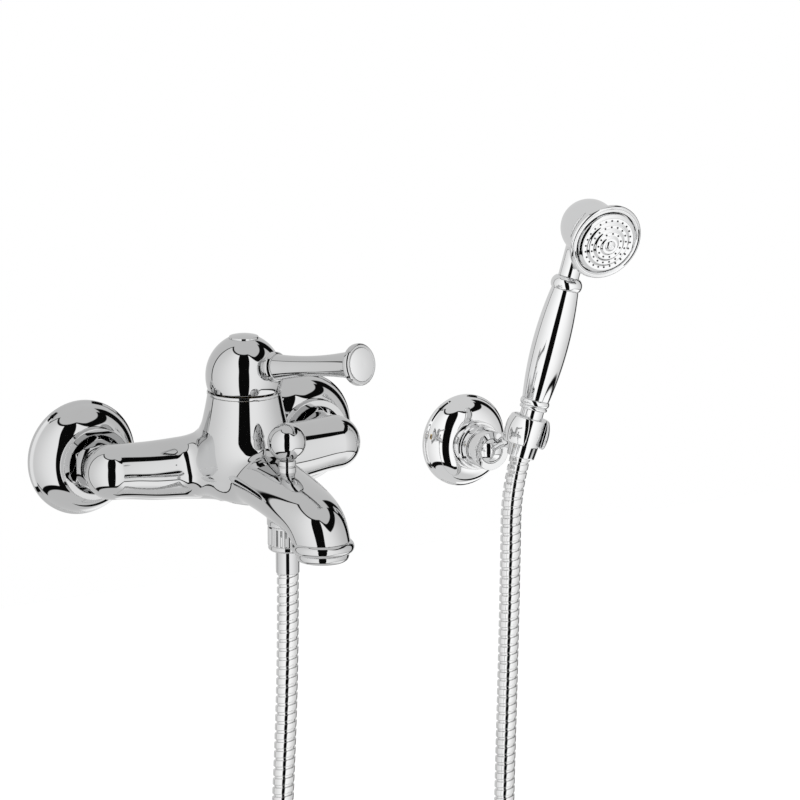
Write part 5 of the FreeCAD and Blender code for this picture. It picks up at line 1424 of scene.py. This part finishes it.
@dataclass
class WallBracket(SubAssembly):
    """The hand shower's wall bracket: flange, socket, ring and the arm with its ball."""

    # The lighter chrome copy paints brighter reflections onto every bracket piece.
    metal: ClassVar[Finish] = Finish.CHROME_PAINTED_BRIGHTER

    offset: float = 193.5
    level: float = -22.0
    rim: float = 29.6
    rim_depth: float = 2.6
    wall: float = 1.6
    dome: float = 15.5
    collar: float = 16.0
    hole: float = 9.0
    boss: float = 6.05
    boss_end: float = 19.05
    socket: float = 15.5
    socket_step: float = 20.5
    socket_front: float = 27.0
    socket_front_radius: float = 13.6
    ball_reach: float = 32.0
    ball: float = 9.0
    ball_gap: float = 0.12
    seat: float = 10.64
    ring: float = 12.4
    ring_face: float = 36.5
    ring_lip: float = 33.5
    arm_pan: float = 16.44
    arm_lift: float = 28.6
    arm_neck: float = 3.0
    arm_end: float = 5.4
    arm_end_at: float = 19.5
    pin: float = 2.0
    pin_length: float = 3.0
    screw_spacing: float = 34.0
    screw: float = 2.1
    screw_head: float = 4.0
    screw_crown: float = 2.4
    screw_seat: float = 2.52
    screw_length: float = 12.0
    screw_point: float = 0.8
    recess: float = 0.9
    recess_floor: float = 0.6

    def ball_centre(self) -> Vector:
        """Where the ball turns, in millimetres."""
        return Vector((self.offset, -self.ball_reach, self.level + MIXER_RISE))

    def arm_axis(self) -> Matrix:
        """The arm's own axis, from the ball."""
        return axis_place(self.ball_centre(), direction(self.arm_pan, self.arm_lift))

    def build(self) -> None:
        """Builds the bracket from the wall out."""
        axis = mixer_place(self.offset, 0, self.level, FRONT)
        rim, skin, dome = self.rim, self.wall, self.dome
        self.turned("bracket_flange", axis, [
            (rim - skin, 0), (rim, 0), (rim, self.rim_depth), (rim - 1.4, self.rim_depth + 1.2),
            Bend(rim * 0.84, dome * 0.66), (self.collar, dome), (self.hole, dome), (self.hole, dome - skin),
            (self.collar, dome - skin), Bend(rim * 0.84 - skin, dome * 0.66 - skin * 0.6),
            (rim - skin - 1, self.rim_depth),
        ], 0.5)
        low = dome + SEAT_GAP
        front, ball = self.socket_front, self.ball_reach
        self.turned("socket_base", axis, [
            (self.boss, low), (self.socket, low), (self.socket, self.socket_step),
            (self.socket_front_radius, self.socket_step), (self.socket_front_radius, front),
            (chord(self.seat, ball - front), front), Bend(chord(self.seat, 8.2), ball - 8.2),
            (0.5, ball - self.seat), (0.5, self.boss_end), (self.boss, self.boss_end),
        ], 0.5)
        self._screws()
        face, held = front + SEAT_GAP, self.ball + self.ball_gap
        self.turned("socket_ring", axis, [
            (chord(self.seat, ball - face), face), (self.ring, face), (self.ring, self.ring_face),
            (chord(held, self.ring_face - ball), self.ring_face), Bend(chord(held, 3), ball + 3),
            (chord(held, self.ring_lip - ball), self.ring_lip), (self.seat, self.ring_lip), (self.seat, ball),
            Bend(chord(self.seat, 2.5), ball - 2.5),
        ], 0.5)
        neck_at = chord(self.ball, self.arm_neck)
        self.turned("bracket_arm", self.arm_axis(), [
            (0, -self.ball), Bend(self.ball, 0), (self.arm_neck, neck_at), (self.arm_neck, neck_at + 1.2),
            Bend(self.arm_neck + 0.7, 14), (self.arm_end, self.arm_end_at), (self.pin, self.arm_end_at),
            (self.pin, self.arm_end_at + self.pin_length), (0, self.arm_end_at + self.pin_length),
        ], 0.2)

    def _screws(self) -> None:
        """Builds the two screws that hold the bracket's plate, with a cross slot in each head."""
        made = []
        for sign in (-1, 1):
            axis = mixer_place(self.offset + self.screw_spacing / 2 * sign, 0, self.level, FRONT)
            made.append(Mesh.turned("bracket_screws_finished", axis, [
                (0, -self.screw_length), (self.screw_point, -self.screw_length),
                (self.screw, -self.screw_length + 4), (self.screw, self.screw_seat),
                (self.screw_head, self.screw_seat),
                (self.screw_head * 0.8, self.screw_seat + self.screw_crown * 0.8),
                (self.recess, self.screw_seat + self.screw_crown),
                (self.recess, self.screw_seat + self.recess_floor), (0, self.screw_seat + self.recess_floor),
            ], 0.15, self.cross_slot))
        form = bmesh.new()
        for piece in made:
            form.from_mesh(piece.data)
        form.to_mesh(made[0].data)
        form.free()
        bpy.data.objects.remove(made[1])
        made[0].data.shade_smooth()
        made[0].data.set_sharp_from_angle(angle=Mesh.SHARP)
        self.finish(made[0], Finish.STEEL, "bracket_screws")

    def cross_slot(self, angles: np.ndarray, radius: float, height: float) -> np.ndarray:
        """The screw's radius round its axis, which makes a four-armed recess in the head."""
        if radius > self.recess + 0.1 or height < self.screw_seat + self.recess_floor / 2:
            return np.full(len(angles), radius)
        return radius * (1 + 0.9 * np.abs(np.cos(2 * angles)) ** 6)


@dataclass
class HandShower(SubAssembly):
    """The holder, the hose's upper end and the hand shower, along the shower's own axis."""

    # The lighter chrome copy paints brighter reflections onto the holder, grip and head.
    metal: ClassVar[Finish] = Finish.CHROME_PAINTED_BRIGHTER

    bracket: WallBracket = field(default_factory=WallBracket)
    arm_length: float = 37.4
    lean: float = 15.8
    pan: float = 8.35
    facing: float = 1.5
    boss: float = 6.4
    holder_radius: float = 14.2
    holder_top: float = 11.9
    holder_foot: float = 12.9
    half: float = 9.0
    rim_edge: float = 1.1
    slot_half: float = 7.0
    slot_edge: float = 0.9
    boss_fillet: float = 2.5
    cone_gap: float = 0.3
    cone_top: float = 10.2
    cone_foot: float = 9.5
    cone_end: float = 8.7
    cone_top_at: float = 8.2
    cone_end_at: float = -17.0
    thread: float = 8.9
    thread_foot: float = -7.0
    sleeve: float = 6.44
    flange: float = 8.6
    hose_bore: float = 4.2
    tail: float = 7.3
    tail_bore: float = 4.5
    collar_start: float = 13.8
    collar: float = 9.1
    grip_start: float = 20.3
    grip_foot: float = 8.6
    grip_belly: float = 11.3
    grip_belly_at: float = 62.0
    grip_head: float = 8.6
    grip_end: float = 91.5
    grip_bore: float = 5.4
    grip_cavity: float = 8.0
    bead: float = 9.9
    bead_end: float = 99.5
    neck: float = 6.6
    head_at: float = 134.8
    head_tilt: float = 13.6
    bulb: float = 17.8
    bulb_centre: float = 7.9
    bulb_front: float = 16.5
    flare: float = 22.4
    flare_front: float = 26.5
    flare_wall: float = 1.4
    flare_slope: float = 0.9
    hollow_floor: float = 22.5
    neck_fillet: float = 2.2
    face: float = 24.4
    face_front: float = 30.5
    face_lip: float = 20.1
    plate_rim: float = 19.8
    plate_floor: float = 27.1
    steps: tuple[Point, ...] = ((17.8, 32.1), (13.9, 33.2), (9.8, 34.2))
    hub: float = 5.5
    hub_rise: float = 35.1
    ramp: float = 0.8
    spray: tuple[tuple[float, int], ...] = ((15.7, 24), (11.95, 17), (7.9, 11))
    tip: tuple[Point, ...] = ((0.62, -0.6), (0.62, 0.12), (0.5, 0.2))
    tip_sides: int = 14
    screw: float = 3.6
    screw_crown: float = 1.2
    screw_shank: float = 2.0

    def shower_axis(self) -> Matrix:
        """The shower's own axis, from the middle of the holder."""
        lean, bearing = math.radians(self.lean), math.radians(self.pan)
        along = Vector((math.sin(lean) * math.cos(bearing), -math.sin(lean) * math.sin(bearing), math.cos(lean)))
        across = along.cross(direction(self.facing, 0))
        reach = direction(self.bracket.arm_pan, self.bracket.arm_lift) * self.arm_length
        return axis_place(self.bracket.ball_centre() + reach, along, across)

    def head_local(self) -> Matrix:
        """The spray head's axis, seen from the shower's axis."""
        return axis_place((0, 0, self.head_at), direction(0, -self.head_tilt))

    def build(self) -> None:
        """Builds the holder, the cone, the grip and the head."""
        self.axis = self.shower_axis()
        self._holder()
        self._cone()
        self._grip()
        self._head()

    def cone_radius(self, at: float | np.ndarray) -> float | np.ndarray:
        """The cone's radius at heights in the holder."""
        return self.cone_foot + (self.cone_top - self.cone_foot) / (2 * self.half) * (at + self.half)

    def _holder(self) -> None:
        """Builds the split holder with the boss that turns on the arm."""
        half = self.half
        traced = Outline([(self.holder_foot, -half), Bend(self.holder_radius, -half * 0.1), (self.holder_top, half)],
                         False, 0).points
        arm = self.axis.inverted() @ self.bracket.arm_axis()
        base, way = np.array(arm.translation), np.array(arm.to_3x3())[:, 2]
        start, end = self.bracket.arm_end_at + SEAT_GAP, self.arm_length - 4
        pin = self.bracket.pin + FIT_GAP
        pin_end = self.bracket.arm_end_at + self.bracket.pin_length + FIT_GAP

        def form(x: np.ndarray, y: np.ndarray, z: np.ndarray) -> np.ndarray:
            """The holder as a field about the shower's axis."""
            off_axis = np.hypot(x, y)
            barrel = Blend.cut(off_axis - np.interp(z, traced[:, 1], traced[:, 0]), half - np.abs(z), self.rim_edge)
            along = (x - base[0]) * way[0] + (y - base[1]) * way[1] + (z - base[2]) * way[2]
            from_base = (x - base[0]) ** 2 + (y - base[1]) ** 2 + (z - base[2]) ** 2
            from_arm = np.sqrt(np.maximum(from_base - along ** 2, 0))
            boss = Blend.cut(from_arm - self.boss, np.minimum(along - start, end - along), 0.5)
            whole = Blend.union(barrel, boss, self.boss_fillet)
            whole = Blend.cut(whole, off_axis - self.cone_radius(np.clip(z, -half, half)) - self.cone_gap, 0.5)
            whole = Blend.cut(whole, np.maximum(np.abs(x) - self.slot_half, y), self.slot_edge)
            return np.maximum(whole, -np.maximum(from_arm - pin, along - pin_end))

        casting = Casting("holder_clip", form, (-17, -17, -16), (17, 24, 12), 0.33)
        self.finish(casting.mesh(self.axis), self.metal, "shower_holder")

    def _cone(self) -> None:
        """Builds the hose's cone and the ferrule inside it."""
        half, thread, neck = self.half, self.thread + FIT_GAP, self.sleeve + 0.15
        top, end, foot = self.cone_top_at, self.cone_end_at, self.thread_foot
        self.turned("hose_cone", self.axis, [
            (neck, end), (self.cone_end, end), (self.cone_radius(-half), -half), (self.cone_radius(top), top),
            (thread, top), (thread, foot), (neck, foot),
        ], 0.6)
        bore, sleeve, low = self.hose_bore, self.sleeve, foot + SEAT_GAP
        self.turned("upper_ferrule", self.axis, [
            (bore, end + 0.2), (sleeve, end + 0.2), (sleeve, low), (self.flange, low), (self.flange, low + 1.5),
            (bore, low + 1.5),
        ], 0.2, finish=Finish.STEEL)

    def _grip(self) -> None:
        """Builds the tail, its collar, the grip and the bead above it."""
        tail, bore, top = self.tail, self.tail_bore, self.cone_top_at - 0.4
        hole, foot = tail + FIT_GAP, self.grip_start
        self.turned("shower_tail", self.axis, [
            (bore, -3), (self.thread, -3), (self.thread, top), (tail, top), (tail, foot + 12), (bore, foot + 12),
        ], 0.25)
        start, end, collar = self.collar_start, foot - SEAT_GAP, self.collar
        self.turned("tail_collar", self.axis, [
            (hole, start), (collar - 0.9, start), Bend(collar - 0.3, start + 1), (collar - 0.9, start + 2.2),
            Bend(collar + 0.2, start + 4.2), (self.grip_foot, end), (hole, end),
        ], 0.3)
        end, inner, cavity = self.grip_end, self.grip_bore, self.grip_cavity
        self.turned("shower_grip", self.axis, [
            (hole, foot), (self.grip_foot, foot), Bend(self.grip_belly, self.grip_belly_at), (self.grip_head, end),
            (inner, end), (inner, end - 8), (cavity, end - 14), (cavity, foot + 16), (hole, foot + 13),
        ], 0.4)
        low, high = end + SEAT_GAP, self.bead_end
        self.turned("grip_ring", self.axis, [
            (inner, low), (self.grip_head + 0.4, low), Bend(self.bead, (low + high) / 2), (self.neck + 0.8, high),
            (inner, high),
        ], 0.4)

    def _head(self) -> None:
        """Builds the head's shell, its face ring, the stepped spray plate and its screw."""
        local = self.head_local()
        inverse = np.array(local.inverted())
        hull = [(self.bulb, self.bulb_centre), (self.bulb, self.bulb_front),
                Bend(self.bulb + 1.4, self.flare_front - 3), (self.flare, self.flare_front)]
        traced = Outline(hull, False, 0).points
        foot = self.bead_end + SEAT_GAP

        def form(x: np.ndarray, y: np.ndarray, z: np.ndarray) -> np.ndarray:
            """The shell as a field about the shower's axis."""
            a, b, c = (row[0] * x + row[1] * y + row[2] * z + row[3] for row in inverse[:3])
            off_axis = np.hypot(a, b)
            round_back = np.sqrt(a ** 2 + b ** 2 + (c - self.bulb_centre) ** 2) - self.bulb
            side = (off_axis - np.interp(c, traced[:, 1], traced[:, 0])) * self.flare_slope
            shell = np.maximum(np.where(c < self.bulb_centre, round_back, side), c - self.flare_front)
            neck = np.maximum(np.hypot(x, y) - self.neck, np.maximum(foot - z, z - self.head_at))
            whole = Blend.union(shell, neck, self.neck_fillet)
            hollow = np.maximum(off_axis - self.flare + self.flare_wall, self.hollow_floor - c)
            return Blend.cut(whole, hollow, 0.3)

        casting = Casting("head_shell", form, (-25, -34, 98), (25, 19, 160), 0.55)
        self.finish(casting.mesh(self.axis), self.metal, "shower_head")
        place = self.axis @ local
        back, face, lip, front = self.flare_front + SEAT_GAP, self.face, self.face_lip, self.face_front
        self.turned("face_ring", place, [
            (lip, back), (self.flare, back), (face, back + 1.2), Bend(face + 0.2, (back + front) / 2 + 0.4),
            (face - 1.2, front), (face - 2.0, front - 0.5), (face - 2.5, front - 0.5), (lip + 0.8, front - 0.2),
            (lip, front - 2),
        ], 0.25)
        (one, rise_one), (two, rise_two), (three, rise_three) = self.steps
        shank, floor, ramp = self.screw_shank, self.plate_floor, self.ramp
        self.turned("spray_plate", place, [
            (shank + FIT_GAP, floor), (self.plate_rim, floor), (self.plate_rim, rise_one - 1), (one, rise_one),
            (two + ramp, rise_one + 0.1), (two - ramp / 2, rise_two), (three + ramp, rise_two + 0.1),
            (three - ramp / 2, rise_three), (self.hub + ramp, rise_three + 0.1), (self.hub - ramp / 4, self.hub_rise),
            (shank + FIT_GAP, self.hub_rise),
        ], 0.55)
        self._nozzles(place)
        seat = self.hub_rise + SEAT_GAP
        self.turned("spray_plate_screw", place, [
            (0, floor - 4), (shank, floor - 4), (shank, seat), (self.screw, seat),
            Bend(self.screw * 0.75, seat + self.screw_crown * 0.78), (0, seat + self.screw_crown),
        ], 0.2)

    def _nozzles(self, place: Matrix) -> None:
        """Builds the small dark nozzle tips that show at the spray plate's holes."""
        points, faces = [], []
        levels = [rise + 0.1 for _, rise in self.steps]
        count = self.tip_sides
        around = np.arange(count) / count * FULL_TURN
        for (radius, holes), level in zip(self.spray, levels):
            for angle in np.arange(holes) / holes * FULL_TURN:
                start = len(points)
                for wide, height in self.tip:
                    points += [(radius * math.cos(angle) + wide * math.cos(a),
                                radius * math.sin(angle) + wide * math.sin(a), level + height) for a in around]
                for low in (start, start + count):
                    for k in range(count):
                        after = (k + 1) % count
                        faces.append((low + k, low + after, low + count + after, low + count + k))
                faces.append(tuple(range(start + 2 * count, start + 3 * count)))
                faces.append(tuple(range(start + count - 1, start - 1, -1)))
        tips = Mesh.solid("nozzle_tips", np.array(points), faces, place)
        self.finish(tips, Finish.RUBBER, body="hand_shower")


class HiddenPieces(SubAssembly):
    """The pieces that sit inside the others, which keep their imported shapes."""

    FINISHES: ClassVar[dict[Finish, tuple[str, ...]]] = {
        Finish.BRASS: ("eccentric_union_left", "eccentric_union_right", "cartridge_nut", "outlet_nipple",
                       "diverter_plunger", "lever_turret"),
        Finish.STEEL: ("bracket_plate", "spindle", "spindle_pin", "head_screw", "diverter_spring"),
        Finish.CERAMIC: ("fixed_ceramic_disc", "moving_ceramic_disc"),
        Finish.WHITE_PLASTIC: ("check_valve_left", "check_valve_right", "cartridge_housing", "disc_slider",
                               "ball_seat"),
        Finish.GREY_PLASTIC: ("aerator_insert",),
        Finish.RUBBER: ("inlet_gasket_left", "inlet_gasket_right", "cartridge_seal", "diverter_seal",
                        "aerator_washer", "hose_washer", "shower_washer", "spray_plate_seal"),
    }

    def build(self) -> None:
        """Gives each shown solid its finish."""
        for finish, names in self.FINISHES.items():
            for name in names:
                node = FRAME["nodes"][name]
                node.data.materials.clear()
                node.data.materials.append(finish.material())
                log.info("%s is dressed in %s", name, finish.value.name)


# ---------------------------------------------------------------- studio


@dataclass(frozen=True)
class Lamp:
    """A soft square lamp: its place and width in metres and its power in watts."""

    name: str
    place: Place
    width: float
    power: float


@dataclass
class Studio:
    """The camera, the pale floor and the soft light round the part.

    The metal mirrors two tall panels with a dark gap between them. Their edges are bearings, in degrees to the right
    of the camera's own, and rises above level. A change is what the right panel's edge adds to the left one's. A
    dark frame stands round the panels, and beyond it is the plain surround.
    """

    azimuth: float = -30.0
    elevation: float = 13.1
    distance: float = 2.5
    target: Place = (0.150, 0.004, 0.014)
    lens: float = 178.2
    sensor: float = 36.0
    floor_level: float = -0.566
    floor_front: float = -0.06
    floor_half: float = 1.6
    floor_glow: float = 0.3
    surround: float = 0.7
    panel: float = 1.15
    dark: float = 0.004
    sky: float = 0.75
    soft: float = 0.8
    change_over: Point = (25.0, 60.0)
    left_edge: float = -107.0
    right_edge: float = 130.0
    upper_edge: float = 62.0
    upper_change: float = -24.0
    lower_edge: float = -46.0
    lower_change: float = 19.5
    frame_side: float = 4.0
    frame_above: Point = (4.0, 10.0)
    frame_below: Point = (-9.0, 6.0)
    right_post: float = 22.0
    right_post_top: float = 45.0
    bounce_foot: Point = (-62.0, -42.0)
    bounce_top: Point = (-28.0, -26.0)
    gap_middle: float = 2.0
    gap_half: float = 16.0
    gap_flare: float = 9.0
    gap_flare_rise: Point = (15.0, 60.0)
    left_fade: Point = (-15.0, 0.72)
    right_fade: Point = (25.0, 0.6)
    lamps: tuple[Lamp, ...] = (
        Lamp("key_lamp", (-1.0, -1.6, 1.6), 1.2, 22),
        Lamp("side_lamp", (1.6, -1.2, 0.9), 1.0, 9),
    )

    def build(self) -> None:
        """Builds the camera, the floor, the surroundings and the lamps."""
        self._camera()
        self._floor()
        self._surroundings()
        self._lamps()

    @staticmethod
    def _stand(thing: bpy.types.Object, place: Vector, toward: Vector) -> None:
        """Puts a camera or lamp in its place, looking toward a direction."""
        thing.location = place
        thing.rotation_mode = "QUATERNION"
        thing.rotation_quaternion = toward.to_track_quat("-Z", "Y")
        bpy.context.scene.collection.objects.link(thing)

    def _camera(self) -> None:
        """Places the camera at the photograph's angle."""
        data = bpy.data.cameras.new("camera")
        data.lens, data.sensor_width = self.lens, self.sensor
        data.clip_end = 40
        camera = bpy.data.objects.new("camera", data)
        back = direction(self.azimuth, self.elevation)
        self._stand(camera, Vector(self.target) + back * self.distance, -back)
        bpy.context.scene.camera = camera

    def _floor(self) -> None:
        """Lays a pale floor that shows white and keeps the part's shadow."""
        points = np.array([(self.target[0] + a * self.floor_half, self.floor_front + b * self.floor_half,
                            self.floor_level) for a, b in ((-1, -1), (1, -1), (1, 1), (-1, 1))]) / MM
        floor = Mesh.solid("floor", points, [(0, 1, 2, 3)])
        made, board, shader = blank_material("pale_floor", grey(0.86))
        shader.inputs["Base Color"].default_value = grey(0.86)
        shader.inputs["Roughness"].default_value = 0.9
        shader.inputs["Emission Color"].default_value = grey(1.0)
        light_path = board.node("ShaderNodeLightPath")
        glow = board.math("MULTIPLY", light_path.outputs["Is Camera Ray"], self.floor_glow)
        board.join(glow, shader.inputs["Emission Strength"])
        clear = board.node("ShaderNodeBsdfTransparent")
        mixed = board.node("ShaderNodeMixShader")
        for k, source in enumerate((light_path.outputs["Is Glossy Ray"], shader.outputs[0], clear.outputs[0])):
            board.join(source, mixed.inputs[k])
        board.join(mixed.outputs[0], made.node_tree.nodes["Material Output"].inputs["Surface"])
        floor.data.materials.append(made)

    def _surroundings(self) -> None:
        """Shows white to the camera, the panels to the metal and an even grey to all else."""
        world = bpy.data.worlds.new("studio")
        bpy.context.scene.world = world
        world.use_nodes = True
        board = Board(world.node_tree)
        light_path = board.node("ShaderNodeLightPath")
        glossy = light_path.outputs["Is Glossy Ray"]
        shown = board.math("ADD", board.math("MULTIPLY", glossy, self._mirrored(board)),
                           board.math("MULTIPLY", board.math("SUBTRACT", 1, glossy), self.sky))
        seen = board.math("MAXIMUM", shown, light_path.outputs["Is Camera Ray"])
        background = world.node_tree.nodes["Background"]
        background.inputs["Color"].default_value = grey(1.0)
        board.join(seen, background.inputs["Strength"])

    def _mirrored(self, board: Board) -> bpy.types.NodeSocket:
        """What the metal mirrors.

        Args:
            board: The world's nodes.

        Returns:
            The level of light from a direction.
        """
        toward = board.node("ShaderNodeTexCoord").outputs["Generated"]
        turn = math.radians(self.azimuth)
        ahead = board.dot(toward, (math.sin(turn), -math.cos(turn), 0))
        aside = board.dot(toward, (math.cos(turn), math.sin(turn), 0))
        above = board.dot(toward, UP)
        bearing = board.math("DEGREES", board.math("ARCTAN2", aside, ahead))
        sine = board.math("MINIMUM", board.math("MAXIMUM", above, -1), 1)
        rise = board.math("DEGREES", board.math("ARCSINE", sine))
        middle = (self.left_edge + self.right_edge) / 2
        half = (self.right_edge - self.left_edge) / 2
        off_middle = board.math("ABSOLUTE", board.math("SUBTRACT", bearing, middle))
        rightward = board.step(bearing, *self.change_over)

        def product(*shares: object) -> bpy.types.NodeSocket:
            """Several shares multiplied together."""
            whole = shares[0]
            for share in shares[1:]:
                whole = board.math("MULTIPLY", whole, share)
            return whole

        def edge(start: float, change: float) -> bpy.types.NodeSocket:
            """A panel's edge, which moves by a change from the left panel to the right one."""
            return board.math("ADD", product(rightward, change), start)

        def window(side: float, top: Point, foot: Point) -> bpy.types.NodeSocket:
            """How much a direction is within an outline of a half width, an upper and a lower edge."""
            inside = board.step(off_middle, side - self.soft, side + self.soft, 1, 0)
            below = board.step(board.math("SUBTRACT", rise, edge(*top)), -self.soft, self.soft, 1, 0)
            over = board.step(board.math("SUBTRACT", rise, edge(*foot)), -self.soft, self.soft)
            return product(inside, below, over)

        def moved(start: float, change: float, by: Point) -> Point:
            """An edge and its change, both moved for the frame."""
            return start + by[0], change + by[1]

        panels = window(half, (self.upper_edge, self.upper_change), (self.lower_edge, self.lower_change))
        framed = window(half + self.frame_side, moved(self.upper_edge, self.upper_change, self.frame_above),
                        moved(self.lower_edge, self.lower_change, self.frame_below))
        post_end = self.right_edge + self.right_post
        post = product(board.step(bearing, self.right_edge, self.right_edge + 1),
                       board.step(bearing, post_end, post_end + 2, 1, 0),
                       board.step(rise, self.right_post_top, self.right_post_top + 3, 1, 0))
        bounce = product(rightward, board.step(rise, *self.bounce_foot), board.step(rise, *self.bounce_top, 1, 0))
        around = board.math("ADD", self.surround, product(bounce, self.panel - self.surround))
        around = product(around, board.math("SUBTRACT", 1, post))
        spread = board.math("ADD", self.gap_half, board.step(rise, *self.gap_flare_rise, 0, self.gap_flare))
        off_gap = board.math("ABSOLUTE", board.math("SUBTRACT", bearing, self.gap_middle))
        gap = board.step(board.math("SUBTRACT", off_gap, spread), -self.soft, self.soft, 1, 0)
        left, right = self.left_fade, self.right_fade
        glow = product(board.step(bearing, left[0], self.left_edge, 1, left[1]),
                       board.step(bearing, right[0], self.right_edge, 1, right[1]), self.panel)
        lit = product(panels, board.math("SUBTRACT", 1, gap), glow)
        unframed = product(board.math("SUBTRACT", 1, framed), around)
        return board.math("ADD", board.math("ADD", lit, unframed), self.dark)

    def _lamps(self) -> None:
        """Hangs the soft lamps, which the metal doesn't mirror."""
        for lamp in self.lamps:
            data = bpy.data.lights.new(lamp.name, "AREA")
            data.energy, data.size = lamp.power, lamp.width
            made = bpy.data.objects.new(lamp.name, data)
            self._stand(made, Vector(lamp.place), Vector(self.target) - Vector(lamp.place))
            made.visible_glossy = False


def main() -> None:
    """Builds the studio and every sub-assembly in order."""
    logging.basicConfig(level=logging.INFO, format="%(message)s")
    bpy.context.scene.view_settings.view_transform = "Standard"
    Studio().build()
    Hose().build()
    for side, sign in (("left", -1), ("right", 1)):
        WallConnection(side, sign).build()
    for assembly in (BodyCasting(), LeverHead(), Diverter(), Aerator(), ShowerOutlet(), WallBracket(),
                     HandShower(), HiddenPieces()):
        assembly.build()
        log.info("%s is built", type(assembly).__name__)


if __name__ == "__main__":
    main()
